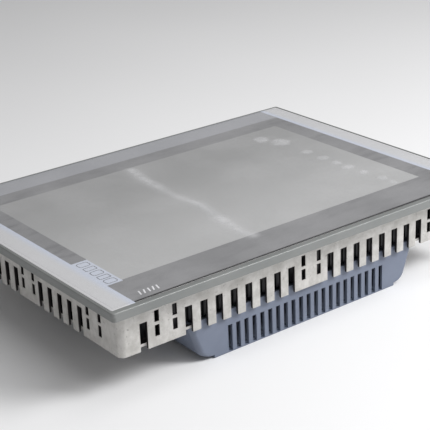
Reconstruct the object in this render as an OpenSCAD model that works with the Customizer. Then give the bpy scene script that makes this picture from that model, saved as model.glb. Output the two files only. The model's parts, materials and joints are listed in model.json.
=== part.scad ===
// Panel-mounting touch operator panel, lying on its back: display up, rear cover down.
// Origin: on the ground under the centre of the front outline. +X: long side, +Y: the
// display's top edge, +Z: out of the display. All sizes in millimetres.

/* [Front] */
// Width of the front
front_w = 330; // [320:1:360]
// Height of the front
front_h = 241; // [235:1:260]
// Overall depth, from the rear cover's foot to the front face
depth = 65; // [62:0.5:75]
// Thickness of the bezel's edge
bezel_t = 6; // [5:0.1:8]
// Width of the bezel's rim along the top edge of the display
rim_top = 4.3; // [2:0.1:5]
// Width of the bezel's rim on the other three edges
rim_side = 1.8; // [1.2:0.1:3]
// Radius of the bezel's corners
bezel_r = 2.5; // [1:0.1:6]

/* [Display] */
// Width of the picture
picture_w = 263; // [255:0.5:266]
// Height of the picture
picture_h = 163.5; // [158:0.5:168]
// How far the picture's centre lies off the front's centre, the same both ways
picture_shift = 2; // [0:0.1:3]

/* [Housing] */
// Width of the part that goes through the panel cut-out
skirt_w = 309; // [300:0.5:312]
// Height of the part that goes through the panel cut-out
skirt_h = 220; // [214:0.5:224]
// Height of the slotted wall's lower edge above the ground
skirt_z = 27; // [25:0.5:28]
// Thickness of the slotted wall
skirt_t = 2; // [1.6:0.1:2.6]
// Width of a ventilation slot
slot_w = 5.8; // [4.5:0.1:6.5]
// Distance between neighbouring ventilation slots
slot_pitch = 12.15; // [11.5:0.05:12.5]
// Width of a clip hole
clip_w = 3.6; // [3:0.1:4.5]
// Distance between the two columns of a pair of clip holes
clip_pitch = 13.7; // [12:0.1:14]

/* [Rear cover] */
// Width of the rear cover at its rim
cover_w = 203.6; // [200:0.2:204]
// How far the rear cover's ends lean in, in degrees
cover_lean = 20; // [12:1:24]
// Width of the foot that the panel lies on
foot_w = 162.8; // [150:0.2:168]
// Height of the foot
foot_h = 2.5; // [1.5:0.1:3]
// Wall thickness of the rear cover
cover_t = 2; // [1.6:0.1:2.4]
// Number of vents in the rear cover's upper wall
vents = 21; // [11:2:21]
// Distance between neighbouring vents
vent_pitch = 6.8; // [6:0.1:7]
// Width of a vent
vent_w = 3.5; // [2.5:0.1:4]

/* [Card lock] */
// Travel of the slide that locks the memory cards
lock_travel = 10; // [6:0.5:10]
// Side clearance of the slide on its rivets
lock_play = 0.06; // [0.03:0.01:0.1]

/* [Hidden] */
$fn = 48;

// Small distances that repeat
eps = 0.01;       // how far a cut runs past a face
over = 1;         // how far a through cut runs past a wall
play = 0.3;       // gap between parts that don't touch
hole_play = 0.05; // radial gap between a screw's shank and its thread

// Levels along Z
z_front = depth;
film_t = 0.2;
foil_t = 0.5;
glass_t = 2.5;
z_film = z_front - 0.1;
z_foil = z_film - foil_t;
z_glass = z_foil - glass_t;
z_bezel = z_front - bezel_t;
seal_t = 0.7;
lcd_t = 2.6;
z_lcd = z_glass - seal_t - lcd_t;
guide_t = 3.4;
z_guide = z_lcd - guide_t;
tray_floor = 1.4;
z_tray = z_guide - tray_floor;
flange_t = 2.4;
z_flange = z_bezel - flange_t;
chassis_t = 1.4;
z_chassis = z_tray - 0.2 - chassis_t;
web_t = 2;
z_web = skirt_z + 2;
z_web_top = z_web + web_t;
spreader_t = 2.5;
z_spreader = z_web_top;
board_t = 1.6;
z_board = z_web - 5;
z_board_top = z_board + board_t;

// Front
foil_gap = 0.5;
recess_w = front_w - 2 * rim_side;
recess_h = front_h - rim_side - rim_top;
recess_y = (rim_side - rim_top) / 2;
window_w = 292;
window_h = 198;
gasket_wide = 3.6;
gasket_in = 1;
gasket_out = 1.5;
gasket_w = skirt_w + 9;
gasket_h = skirt_h + 9;

// Slotted wall: clip hole pairs at the middle and towards the ends, slots in between
skirt_r = 4.5;
long_pair = 120;
short_pair = 80.6;
long_slots = 8;
short_slots = 5;
end_slot = 137;
slot_top = depth - 18.8;
clip_levels = [[depth - 31.3, 7.8], [depth - 21.4, 7.9]];
bead_w = 1.2;
bead_h = 0.8;
bead_pitch = slot_pitch / 3;
chassis_w = 294;
chassis_h = 204;
chassis_wall = 1.2;

// Rear cover
cover_y = 107;
cover_y0 = -66;
cover_r = 4;
cover_edge_r = 8;
cover_cz = foot_h + cover_edge_r;
foot_y0 = -62;
vent_top = depth - 45;
vent_under = 6;
vent_lip = 0.8;
rear_vents = 15;
rear_vent_len = 15;
tab_w = 12;
tab_len = 11;
tab_t = 1.8;
tab_ys = [-48, 12, 72];
tab_x = cover_w / 2 + 4.6;
plate_label = [70, 40, 0.4];
label_y = 30;

// Electronics
board_w = 184;
board_y0 = -63;
board_y1 = 54;
board_holes = [for (x = [-86, 86]) for (y = [-32, 46]) [x, y]];
spreader_w = 218;
spreader_y0 = -72;
spreader_y1 = 57;
chip_w = 31;
chip_t = 2.3;
chip_at = [-12, 6];
memory_at = [[24, 14], [24, -2]];

// Interface plate and its sockets, along X; every socket hangs under the board
iface_w = 184;
iface_t = 1.5;
iface_y = cover_y0 - iface_t;
iface_z = foot_h + cover_t + 0.6;
lip_d = 11;
power_x = 80;
serial_x = 52;
lan_x = [25, 7];
usb_x = [-10, -25.5];
service_x = -37;
audio_x = -46.5;
card_x = -76;
power_size = [16, 15, 12.5];
power_hole = [13, 9.5, 9.5];
lan_size = [16, 20, 13.5];
lan_hole = [11.9, 13, 8.4];
usb_size = [14.5, 18, 6.8];
usb_hole = [12.9, 13, 5.4];
service_size = [7.8, 9, 4];
audio_size = [9, 14, 9];
audio_bore_r = 1.8;
card_size = [27, 28, 3.6];
card_hole = [24.6, 25, 2.6];
card_levels = [z_board - 3.6, z_board - 9.4];
serial_flange = [31, 0.8, 12.5];
serial_z = z_board - 6.25;
serial_wide = 16.9;
serial_high = 8.4;
post_dx = 25;
post_bore_r = 1.42;
sill = 2; // how far the sockets stand out of the plate

// Card lock
slide_t = 1.5;
slide_y = iface_y - 0.3 - slide_t;
slide_z = 8.2;
slide_h = 5;
slide_w = 39;
slide_x = card_x + 6;
rivet_r = 1.5;
rivet_xs = [-5.8, 9.5];
tab_lock_w = 5;

// Ground stud
ground_at = [128, -88];
ground_r = 2;
ground_step = 0.5;
ground_len = 13;
ground_nut_h = 3.9;
ground_nut_r = 4.62;

// Fasteners: [shank radius, head radius, head height]
m3 = [1.5, 2.8, 1.9];

// ---------- shared shapes ----------

// A flat rectangle with round corners, centred
module rounded(w, h, r) {
    square([w - 2 * r, h], center = true);
    square([w, h - 2 * r], center = true);
    for (x = [-1, 1]) for (y = [-1, 1]) translate([x * (w / 2 - r), y * (h / 2 - r)]) circle(r);
}

// A slab with round corners between two levels
module slab(w, h, r, z0, z1) {
    translate([0, 0, z0]) linear_extrude(z1 - z0) rounded(w, h, r);
}

// A box centred in X and Y, standing on z0
module block(size, at = [0, 0, 0]) {
    translate([at[0] - size[0] / 2, at[1] - size[1] / 2, at[2]]) cube(size);
}

// A box centred in X whose front is at y0 and whose underside is at z0
module ahead(x, y0, z0, size) {
    translate([x - size[0] / 2, y0, z0]) cube(size);
}

// A round bar along Y from y0 to y1
module bar_y(x, z, y0, y1, r) {
    translate([x, y0, z]) rotate([-90, 0, 0]) cylinder(r = r, h = y1 - y0);
}

// A pan head screw along Z: its head's bearing face is at z, its shank goes up or down
module screw(at, z, len, size = m3, up = true) {
    translate([at[0], at[1], z]) mirror([0, 0, up ? 0 : 1]) {
        cylinder(r = size[0], h = len);
        translate([0, 0, -size[2]]) difference() {
            cylinder(r = size[1], h = size[2]);
            translate([0, 0, -eps]) cylinder(r = size[1] * 0.5, h = size[2] * 0.6, $fn = 6);
        }
    }
}

// The screws' places
bezel_spots = concat(
    [for (x = [-100, -34, 34, 100]) for (y = [-105, 105]) [x, y]],
    [for (x = [-149.5, 149.5]) for (y = [-55, 0, 55]) [x, y]]
);
chassis_spots = [for (x = [-138, 138]) for (y = [-97.6, 97.6]) [x, y]];
spreader_spots = [for (x = [-105.6, 105.6]) for (y = [-60, 45]) [x, y]];
plate_spots = [for (x = [-78, -26, 26, 78]) [x, iface_y - 5.5]];
cover_spots = [for (s = [-1, 1]) for (y = tab_ys) [s * tab_x, y]];

// ---------- front ----------

// Painted metal frame that holds the glass and seals against the panel
module front_bezel() {
    color("silver") difference() {
        slab(front_w, front_h, bezel_r, z_bezel, z_front);
        translate([0, recess_y]) slab(recess_w, recess_h, 1.2, z_glass, z_front + over);
        translate([picture_shift, picture_shift])
            slab(window_w, window_h, 3, z_bezel - over, z_front);
        difference() {
            slab(gasket_w, gasket_h, skirt_r + 4, z_bezel - over, z_bezel + gasket_in);
            slab(gasket_w - 2 * gasket_wide, gasket_h - 2 * gasket_wide, skirt_r,
                z_bezel - 2 * over, z_bezel + gasket_in + over);
        }
        for (at = bezel_spots) translate([at[0], at[1], z_bezel - over])
            cylinder(r = m3[0] + hole_play, h = over + 2.2);
    }
}

// Thin clear film that is peeled off after mounting
module protective_film() {
    color([0.85, 0.88, 0.9, 0.5])
        translate([0, recess_y]) slab(recess_w - 5, recess_h - 5, 2, z_film, z_film + film_t);
}

// Printed front foil: a dark surround, a pale strip on three sides and the picture's window
module front_foil() {
    color("dimgray") translate([0, recess_y])
        slab(recess_w - 2 * foil_gap, recess_h - 2 * foil_gap, 1, z_foil, z_film);
}

// Touch sensor glass
module touch_glass() {
    color([0.6, 0.75, 0.75, 0.6]) translate([0, recess_y])
        slab(recess_w - 2 * foil_gap, recess_h - 2 * foil_gap, 1, z_glass, z_foil);
}

// Seal in the groove behind the bezel
module mounting_gasket() {
    color("#303234") difference() {
        slab(gasket_w, gasket_h, skirt_r + 4, z_bezel - gasket_out, z_bezel + gasket_in);
        slab(gasket_w - 2 * gasket_wide, gasket_h - 2 * gasket_wide, skirt_r,
            z_bezel - gasket_out - over, z_front);
    }
}

// Foam frame that keeps dust out between glass and liquid crystal panel
module dust_seal() {
    color("#202020") translate([picture_shift, picture_shift]) difference() {
        slab(picture_w + 11, picture_h + 14, 2, z_lcd + lcd_t, z_glass);
        slab(picture_w + 3, picture_h + 3, 1, z_lcd, z_glass + over);
    }
}

// Liquid crystal panel
module lcd_panel() {
    color("#15181c") translate([picture_shift, picture_shift])
        slab(277, 182, 1, z_lcd, z_lcd + lcd_t);
}

// Clear plate that spreads the backlight
module light_guide() {
    color("white") translate([picture_shift, picture_shift])
        slab(270, 174, 0.8, z_guide, z_guide + guide_t);
}

// Tray that carries the light guide and the light strips
module backlight_frame() {
    color("lightgray") translate([picture_shift, picture_shift]) difference() {
        slab(279, 184, 2, z_tray, z_lcd);
        slab(270, 174, 0.8, z_guide, z_lcd + over);
        for (x = [-100, 0, 100]) translate([x, -70, z_tray - over])
            cylinder(r = 3, h = tray_floor + 2 * over);
    }
}

// ---------- housing ----------

// The slots and clip holes of one side, cut along +Y through a wall at y = 0
module wall_cuts(pair, end, count) {
    for (c = [-pair, 0, pair]) for (s = [-0.5, 0.5]) for (level = clip_levels)
        translate([c + s * clip_pitch - clip_w / 2, -skirt_t - over, level[0]])
            cube([clip_w, skirt_t + 2 * over, level[1]]);
    for (side = [-1, 1]) for (i = [0:count - 1])
        translate([side * pair / 2 + (i - (count - 1) / 2) * slot_pitch - slot_w / 2, -skirt_t,
            skirt_z - over])
            cube([slot_w, skirt_t + over, slot_top - skirt_z + over]);
    if (end > 0) for (side = [-1, 1])
        translate([side * end - slot_w / 2, -skirt_t, skirt_z - over])
            cube([slot_w, skirt_t + over, slot_top - skirt_z + over]);
}

// Cast metal frame: front flange, slotted wall and rear web
module housing_frame() {
    inner_w = skirt_w - 2 * skirt_t;
    inner_h = skirt_h - 2 * skirt_t;
    web_hole_y0 = cover_y0 - 3.5;
    web_hole_y1 = inner_h / 2;
    color("#b9b7b2") difference() {
        slab(skirt_w, skirt_h, skirt_r, skirt_z, z_bezel);
        slab(inner_w, inner_h, skirt_r - skirt_t, skirt_z - over, z_web);
        slab(inner_w, inner_h, skirt_r - skirt_t, z_web_top, z_flange);
        translate([picture_shift, picture_shift]) slab(288, 187, 4, z_flange - over, z_bezel + over);
        translate([0, (web_hole_y1 + web_hole_y0) / 2])
            slab(cover_w + 0.8, web_hole_y1 - web_hole_y0, 3, z_web - over, z_web_top + over);
        for (a = [0, 180]) rotate(a) translate([0, skirt_h / 2, 0])
            wall_cuts(long_pair, end_slot, long_slots);
        for (a = [90, 270]) rotate(a) translate([0, skirt_w / 2, 0])
            wall_cuts(short_pair, 0, short_slots);
        for (at = bezel_spots) translate([at[0], at[1], z_flange - over])
            cylinder(r = m3[0] + 0.2, h = flange_t + 2 * over);
        for (at = chassis_spots) translate([at[0], at[1], z_flange - over])
            cylinder(r = m3[0] + hole_play, h = flange_t + over - 0.4);
        for (at = concat(spreader_spots, plate_spots, cover_spots, [ground_at]))
            translate([at[0], at[1], z_web - over])
                cylinder(r = (at == ground_at ? ground_r + ground_step : m3[0]) + hole_play,
                    h = web_t + 2 * over);
    }
}

// Black sheet metal tray behind the display, with beaded side walls down to the rear web
module inner_chassis() {
    z_low = z_web_top + play;
    color("#202226") difference() {
        union() {
            translate([0, 0, z_low]) linear_extrude(z_chassis + chassis_t - z_low) {
                rounded(chassis_w, chassis_h, 3);
                for (i = [-34:34]) translate([i * bead_pitch - bead_w / 2, -chassis_h / 2 - bead_h])
                    square([bead_w, chassis_h + 2 * bead_h]);
                for (i = [-23:23]) translate([-chassis_w / 2 - bead_h, i * bead_pitch - bead_w / 2])
                    square([chassis_w + 2 * bead_h, bead_w]);
            }
            for (at = chassis_spots) translate([at[0], at[1], z_chassis])
                cylinder(r = 3.3, h = z_flange - z_chassis);
        }
        slab(chassis_w - 2 * chassis_wall, chassis_h - 2 * chassis_wall, 2, z_low - over, z_chassis);
        for (at = chassis_spots) translate([at[0], at[1], z_chassis - over])
            cylinder(r = m3[0] + 0.2, h = z_flange - z_chassis + 2 * over);
        block([22, 6, chassis_t + 2 * over], [-50, 61.2, z_chassis - over]);
        block([3, 14, chassis_t + 2 * over], [144.1, 70, z_chassis - over]);
        for (x = [-90:36:90]) for (y = [-60, 0])
            block([20, 30, chassis_t + 2 * over], [x, y, z_chassis - over]);
    }
}

module bezel_screws() {
    color("gainsboro") for (at = bezel_spots) screw(at, z_flange, flange_t + 2);
}

module chassis_screws() {
    color("gainsboro") for (at = chassis_spots) screw(at, z_chassis, z_flange - z_chassis + 1.9);
}

// ---------- electronics ----------

// Aluminium plate that takes the processor's heat to the housing
module heat_spreader() {
    wide = (spreader_y1 - spreader_y0);
    color("lightsteelblue") difference() {
        union() {
            block([spreader_w, wide, spreader_t], [0, (spreader_y0 + spreader_y1) / 2, z_spreader]);
            block([chip_w + 8, chip_w + 8, z_spreader - z_board_top - chip_t + eps],
                [chip_at[0], chip_at[1], z_board_top + chip_t]);
            for (at = board_holes) translate([at[0], at[1], z_board_top])
                cylinder(r = 4, h = z_spreader - z_board_top + eps);
            for (i = [-6:6]) block([1.6, 60, 6], [i * 6, 6, z_spreader + spreader_t - eps]);
        }
        for (at = board_holes) translate([at[0], at[1], z_board_top - over])
            cylinder(r = m3[0] + hole_play, h = over + 5);
        for (at = spreader_spots) translate([at[0], at[1], z_spreader - over])
            cylinder(r = m3[0] + 0.2, h = spreader_t + 2 * over);
    }
}

module spreader_screws() {
    color("gainsboro") for (at = spreader_spots)
        screw(at, z_spreader + spreader_t, spreader_t + web_t - 0.2, up = false);
}

module main_board() {
    color("darkgreen") difference() {
        translate([-board_w / 2, board_y0, z_board]) cube([board_w, board_y1 - board_y0, board_t]);
        for (at = board_holes) translate([at[0], at[1], z_board - over])
            cylinder(r = m3[0] + 0.2, h = board_t + 2 * over);
    }
}

module processor() {
    color("#2a2a2e") block([chip_w, chip_w, chip_t], [chip_at[0], chip_at[1], z_board_top]);
}

module memory_chips() {
    color("#1c1c1e") for (at = memory_at) block([14, 11, 1.2], [at[0], at[1], z_board_top]);
}

// Sockets on the board for the two flat cables
module ribbon_headers() {
    color("ivory") {
        block([24, 5, 2.4], [-50, 48.5, z_board_top]);
        block([15, 5, 2.4], [64, 48.5, z_board_top]);
    }
}

module board_screws() {
    color("gainsboro") for (at = board_holes) screw(at, z_board, board_t + 4);
}

ribbon_t = 0.3;
ribbon_z = z_board_top + 1.2;

// Flat cable from the display module to the board
module display_cable() {
    color("tan") {
        translate([-60, 61, ribbon_z]) cube([20, ribbon_t, z_tray - ribbon_z]);
        translate([-60, 51, ribbon_z]) cube([20, 10 + ribbon_t, ribbon_t]);
    }
}

// Flat cable from the touch glass to the board
module touch_cable() {
    x_out = 144.1;
    x_in = 70;
    z_run = 40;
    color("peru") {
        translate([x_out, 64, z_run]) cube([ribbon_t, 12, z_glass - z_run]);
        translate([x_in, 64, z_run]) cube([x_out - x_in + ribbon_t, 12, ribbon_t]);
        translate([x_in, 64, ribbon_z]) cube([ribbon_t, 12, z_run - ribbon_z]);
        translate([x_in - 12, 51, ribbon_z]) cube([12 + ribbon_t, 25, ribbon_t]);
    }
}

// ---------- sockets ----------

// The hole in the interface plate for a socket that hangs under the board
module socket_hole(x, size) {
    ahead(x, iface_y - over, z_board - size[2] - play,
        [size[0] + 2 * play, iface_t + 2 * over, size[2] + 2 * play]);
}

// Sheet metal plate that the sockets look through, with a lip under the housing's web
module interface_plate() {
    cut_y = iface_y - over;
    cut_t = iface_t + 2 * over;
    color("#c8cacc") difference() {
        union() {
            translate([0, iface_y + iface_t, 0]) rotate([90, 0, 0]) linear_extrude(iface_t)
                intersection() {
                    polygon(cover_outline(0.6, z_web));
                    translate([-cover_w / 2, iface_z]) square([cover_w, z_web - iface_z]);
                }
            translate([-iface_w / 2, iface_y - lip_d + iface_t, z_web - iface_t])
                cube([iface_w, lip_d, iface_t]);
            for (x = [-52, 0, 52]) for (s = [-1, 1])
                ahead(x + s * 5, iface_y - lip_d - 1.5, z_web - iface_t, [3, 3.1, iface_t]);
            for (x = [-52, 0, 52])
                ahead(x, iface_y - lip_d - 4, z_web - iface_t, [13, 3, iface_t]);
        }
        socket_hole(power_x, power_size);
        ahead(serial_x, cut_y, serial_z - 5, [19.2, cut_t, 10]);
        for (s = [-0.5, 0.5]) bar_y(serial_x + s * post_dx, serial_z, cut_y, cut_y + cut_t, 1.7);
        for (x = lan_x) socket_hole(x, lan_size);
        for (x = usb_x) socket_hole(x, usb_size);
        socket_hole(service_x, service_size);
        bar_y(audio_x, z_board - 4.5, cut_y, cut_y + cut_t, 3.8);
        for (z = card_levels) ahead(card_x, cut_y, z + 0.3, [card_hole[0] + 0.6, cut_t, 3]);
        for (x = rivet_xs) bar_y(slide_x + x, slide_z + slide_h / 2, cut_y, cut_y + cut_t, 1.2);
        for (at = plate_spots) translate([at[0], at[1], z_web - iface_t - over])
            cylinder(r = m3[0] + 0.2, h = iface_t + 2 * over);
    }
}

module plate_screws() {
    color("gainsboro") for (at = plate_spots) screw(at, z_web - iface_t, iface_t + web_t - 0.2);
}

// Two-pole supply inlet
module power_socket() {
    front = iface_y - sill;
    color("#2c6e49") difference() {
        ahead(power_x, front, z_board - power_size[2], power_size);
        ahead(power_x, front - over, z_board - power_size[2] + 1.5,
            [power_hole[0], power_hole[1] + over, power_hole[2]]);
    }
    color("gold") for (s = [-0.5, 0.5])
        bar_y(power_x + s * 5.08, z_board - 6.25, front + 4.6, front + power_hole[1] + eps, 0.8);
}

// Outline of a nine-pole D-shaped shell, widest at its upper edge
module d_shape(grow) {
    w = serial_wide / 2 + grow;
    h = serial_high / 2 + grow;
    polygon([[-w, h], [w, h], [w - 1.6, -h], [-w + 1.6, -h]]);
}

// Nine-pole serial port with its pins
module serial_port() {
    y_flange = iface_y + iface_t;
    color("silver") {
        difference() {
            union() {
                ahead(serial_x, y_flange, serial_z - serial_flange[2] / 2, serial_flange);
                translate([serial_x, y_flange + eps, serial_z]) rotate([90, 0, 0])
                    linear_extrude(7.5) d_shape(0.6);
            }
            translate([serial_x, y_flange - 0.6, serial_z]) rotate([90, 0, 0])
                linear_extrude(8) d_shape(0);
            for (s = [-0.5, 0.5])
                bar_y(serial_x + s * post_dx, serial_z, y_flange - over, y_flange + 2 * over, 1.5);
        }
        ahead(serial_x, y_flange + serial_flange[1] - eps, serial_z - 5, [18, 9, 10]);
    }
    color("gold") {
        for (i = [-2:2]) bar_y(serial_x + i * 2.77, serial_z + 1.42, y_flange - 5.6, y_flange, 0.5);
        for (i = [-1.5:1.5]) bar_y(serial_x + i * 2.77, serial_z - 1.42, y_flange - 5.6, y_flange, 0.5);
    }
}

// Hexagonal posts beside the serial port, threaded for the plug's screws
module jack_posts() {
    color("gainsboro") for (s = [-0.5, 0.5]) difference() {
        union() {
            translate([serial_x + s * post_dx, iface_y - 5, serial_z]) rotate([-90, 0, 0])
                cylinder(r = 2.75, h = 5, $fn = 6);
            bar_y(serial_x + s * post_dx, serial_z, iface_y - eps, iface_y + 5, 1.45);
        }
        bar_y(serial_x + s * post_dx, serial_z, iface_y - 5 - over, iface_y - 0.5, post_bore_r);
    }
}

// Network port: shielded box, latch notch and eight contacts
module ethernet_port(x) {
    front = iface_y - sill;
    z0 = z_board - lan_size[2];
    color("#d0d2d4") difference() {
        ahead(x, front, z0, lan_size);
        ahead(x, front - over, z0 + 3.1, [lan_hole[0], lan_hole[1] + over, lan_hole[2]]);
        ahead(x, front - over, z0 + 1.4, [6.2, 9 + over, 1.8]);
        for (s = [-1, 1]) ahead(x + s * 5, front - over, z0 + 1, [3, 0.6 + over, 1.6]);
    }
    color("gold") for (i = [-3.5:3.5])
        ahead(x + i * 1.02, front + 3, z0 + 3.1 + lan_hole[2] - 1.1, [0.45, 10 + eps, 1.1 + eps]);
}

module ethernet_port_1() { ethernet_port(lan_x[0]); }
module ethernet_port_2() { ethernet_port(lan_x[1]); }

// Flat host port: thin shell with a tongue
module usb_port(x) {
    front = iface_y - sill;
    z0 = z_board - usb_size[2];
    color("#d0d2d4") difference() {
        ahead(x, front, z0, usb_size);
        ahead(x, front - over, z0 + 0.7, [usb_hole[0], usb_hole[1] + over, usb_hole[2]]);
    }
    color("#26282c") ahead(x, front + 1.2, z0 + 3.9, [11.2, usb_hole[1] - 1.2 + eps, 1.8]);
}

module usb_port_1() { usb_port(usb_x[0]); }
module usb_port_2() { usb_port(usb_x[1]); }

// Small port for service
module service_port() {
    front = iface_y - 1;
    z0 = z_board - service_size[2];
    color("#d0d2d4") difference() {
        ahead(service_x, front, z0, service_size);
        ahead(service_x, front - over, z0 + 0.5, [6.8, 6 + over, 3]);
    }
    color("#26282c") ahead(service_x, front + 1, z0 + 1.6, [4.2, 5 + eps, 0.8]);
}

// Line output socket
module audio_jack() {
    z = z_board - 4.5;
    color("#7cc08a") difference() {
        union() {
            ahead(audio_x, iface_y + iface_t, z_board - audio_size[2], audio_size);
            bar_y(audio_x, z, iface_y - 1.5, iface_y + iface_t + eps, 3.5);
        }
        bar_y(audio_x, z, iface_y - 1.5 - over, iface_y + 11.5, audio_bore_r);
    }
}

// Two memory card sockets, one above the other
module card_sockets() {
    front = iface_y + iface_t;
    color("#b8bcc0") {
        for (z = card_levels) difference() {
            ahead(card_x, front, z, card_size);
            ahead(card_x, front - over, z + 0.5, [card_hole[0], card_hole[1] + over, card_hole[2]]);
        }
        for (s = [-1, 1])
            ahead(card_x + s * (card_size[0] / 2 - 0.6), front + 2, card_levels[1] + card_size[2] - eps,
            [1.2, card_size[1] - 4, card_levels[0] - card_levels[1] - card_size[2] + 2 * eps]);
    }
}

// Slide that keeps the cards in; at rest its tab covers the ends of both card slots
module card_lock_slide() {
    mid = slide_z + slide_h / 2;
    color("#3f464f") difference() {
        union() {
            ahead(slide_x, slide_y, slide_z, [slide_w, slide_t, slide_h]);
            ahead(card_x + card_hole[0] / 2 - tab_lock_w / 2, slide_y, slide_z + slide_h - eps,
                [tab_lock_w, slide_t, card_levels[0] + 3.4 - slide_z - slide_h]);
            for (i = [0:3])
                ahead(slide_x + 13.2 + i * 1.6, slide_y - 0.8, slide_z + 0.6,
                    [0.8, 0.8 + eps, slide_h - 1.2]);
        }
        for (x = rivet_xs) translate([slide_x + x, slide_y - over, mid]) rotate([-90, 0, 0])
            linear_extrude(slide_t + 2 * over) {
                circle(rivet_r + lock_play);
                translate([-lock_travel, 0]) circle(rivet_r + lock_play);
                translate([-lock_travel, -rivet_r - lock_play])
                    square([lock_travel, 2 * (rivet_r + lock_play)]);
            }
    }
}

// Shouldered rivets that guide the slide
module lock_rivets() {
    mid = slide_z + slide_h / 2;
    color("gainsboro") for (x = rivet_xs) {
        bar_y(slide_x + x, mid, slide_y - 0.25, iface_y, rivet_r);
        bar_y(slide_x + x, mid, iface_y - eps, iface_y + iface_t + 0.6, 1.15);
        bar_y(slide_x + x, mid, slide_y - 1.25, slide_y - 0.25 + eps, 2.4);
    }
}

// Stepped earthing stud: thick in the rear web and the nut, thin where the ring terminal goes
module ground_stud() {
    free = ground_len - web_t - ground_nut_h;
    color("goldenrod") translate([ground_at[0], ground_at[1], z_web_top - ground_len]) {
        cylinder(r = ground_r, h = free);
        translate([0, 0, free - eps]) cylinder(r = ground_r + ground_step, h = ground_len - free + eps);
        translate([0, 0, ground_len]) cylinder(r = 4.5, h = 1.6);
    }
}

module ground_nut() {
    hex_h = ground_nut_h - 0.8;
    color("goldenrod") translate([ground_at[0], ground_at[1], z_web - ground_nut_h]) difference() {
        union() {
            cylinder(r = ground_nut_r, h = hex_h, $fn = 6);
            translate([0, 0, hex_h - eps]) cylinder(r = 5.2, h = ground_nut_h - hex_h + eps);
        }
        translate([0, 0, -over])
            cylinder(r = ground_r + ground_step + hole_play, h = ground_nut_h + 2 * over);
    }
}

// ---------- rear cover ----------

// Half the cover's width at a level, for a face inset from its outside
function cover_half(inset, z) = cover_w / 2 - (cover_edge_r + (z_web_top - cover_cz) * sin(cover_lean)
    - (cover_edge_r - inset) - (z - cover_cz) * sin(cover_lean)) / cos(cover_lean);

// Middle of the round edge under each leaning end
cover_cx = cover_half(cover_edge_r, cover_cz);

// Cross-section of the cover, inset from its outside: leaning ends over round lower edges
function cover_outline(inset, top) = let (
    r = cover_edge_r - inset,
    bends = [for (i = [0:7]) -cover_lean - i * (90 - cover_lean) / 7],
    right = [for (a = bends) [cover_cx + r * cos(a), cover_cz + r * sin(a)]],
    left = [for (i = [7:-1:0]) [-right[i][0], right[i][1]]],
    w = cover_half(inset, top)
) concat([[w, top]], right, left, [[-w, top]]);

// Everything on the inner side of one leaning end, with a round upright corner
module cover_end(inset, top, side) {
    r = cover_r - inset;
    mirror([side < 0 ? 1 : 0, 0, 0])
        translate([cover_half(inset, top), cover_y - inset, top]) rotate([0, cover_lean, 0])
            translate([0, 0, -150]) linear_extrude(200) {
                translate([-r, -r]) circle(r);
                translate([-400, -400]) square([400, 400 - r]);
                translate([-400, -400]) square([400 - r, 400]);
            }
}

module cover_body(inset, top) {
    intersection() {
        translate([0, cover_y - inset, 0]) rotate([90, 0, 0]) linear_extrude(cover_y - cover_y0 + 30)
            polygon(cover_outline(inset, top));
        cover_end(inset, top, 1);
        cover_end(inset, top, -1);
    }
}

// Plastic rear cover with vents, foot and screw tabs; its lower side is closed by the interface plate
module rear_cover() {
    color("slategray") difference() {
        union() {
            cover_body(0, z_web_top);
            translate([-foot_w / 2, foot_y0, 0]) cube([foot_w, cover_y - foot_y0, foot_h + 1]);
            for (at = cover_spots)
                block([tab_len, tab_w, tab_t], [at[0] - 2 * sign(at[0]), at[1], z_web - tab_t]);
        }
        translate([-cover_w, cover_y0 - 60, -over]) cube([2 * cover_w, 60, depth]);
        cover_body(cover_t, z_web_top + over);
        for (i = [0:vents - 1])
            translate([(i - (vents - 1) / 2) * vent_pitch - vent_w / 2, cover_y - vent_under, vent_lip])
                cube([vent_w, vent_under + over, vent_top - vent_lip]);
        for (i = [0:rear_vents - 1])
            translate([(i - (rear_vents - 1) / 2) * 1.4 * vent_pitch - vent_w / 2, foot_y0 + 12, -over])
                cube([vent_w, rear_vent_len, 10]);
        block([plate_label[0] + 0.4, plate_label[1] + 0.4, plate_label[2] + 0.1 + over],
            [0, label_y, -over]);
        for (at = cover_spots) translate([at[0], at[1], z_web - tab_t - over])
            cylinder(r = m3[0] + 0.2, h = tab_t + 2 * over);
    }
}

module cover_screws() {
    color("gainsboro") for (at = cover_spots) screw(at, z_web - tab_t, tab_t + web_t - 0.2);
}

// Blank plate for the type data
module rating_plate() {
    color("white") block(plate_label, [0, label_y, 0.1]);
}

front_bezel();
protective_film();
front_foil();
touch_glass();
mounting_gasket();
dust_seal();
lcd_panel();
light_guide();
backlight_frame();
housing_frame();
inner_chassis();
bezel_screws();
chassis_screws();
heat_spreader();
spreader_screws();
main_board();
processor();
memory_chips();
ribbon_headers();
board_screws();
display_cable();
touch_cable();
interface_plate();
plate_screws();
power_socket();
serial_port();
jack_posts();
ethernet_port_1();
ethernet_port_2();
usb_port_1();
usb_port_2();
service_port();
audio_jack();
card_sockets();
card_lock_slide();
lock_rivets();
ground_stud();
ground_nut();
rear_cover();
cover_screws();
rating_plate();
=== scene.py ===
"""Looks for a panel-mounting touch operator panel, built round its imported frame.

The panel lies on its back with its display up. Sizes in this file are millimetres in
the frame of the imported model, and each mesh is brought to metres as it is finished.
"""

import json
import logging
import math
from collections.abc import Callable, Iterable, Sequence
from dataclasses import dataclass, field
from enum import Enum
from typing import Any

import bmesh
import bpy
from bmesh.types import BMEdge, BMFace, BMVert
from mathutils import Matrix, Vector, noise

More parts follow.
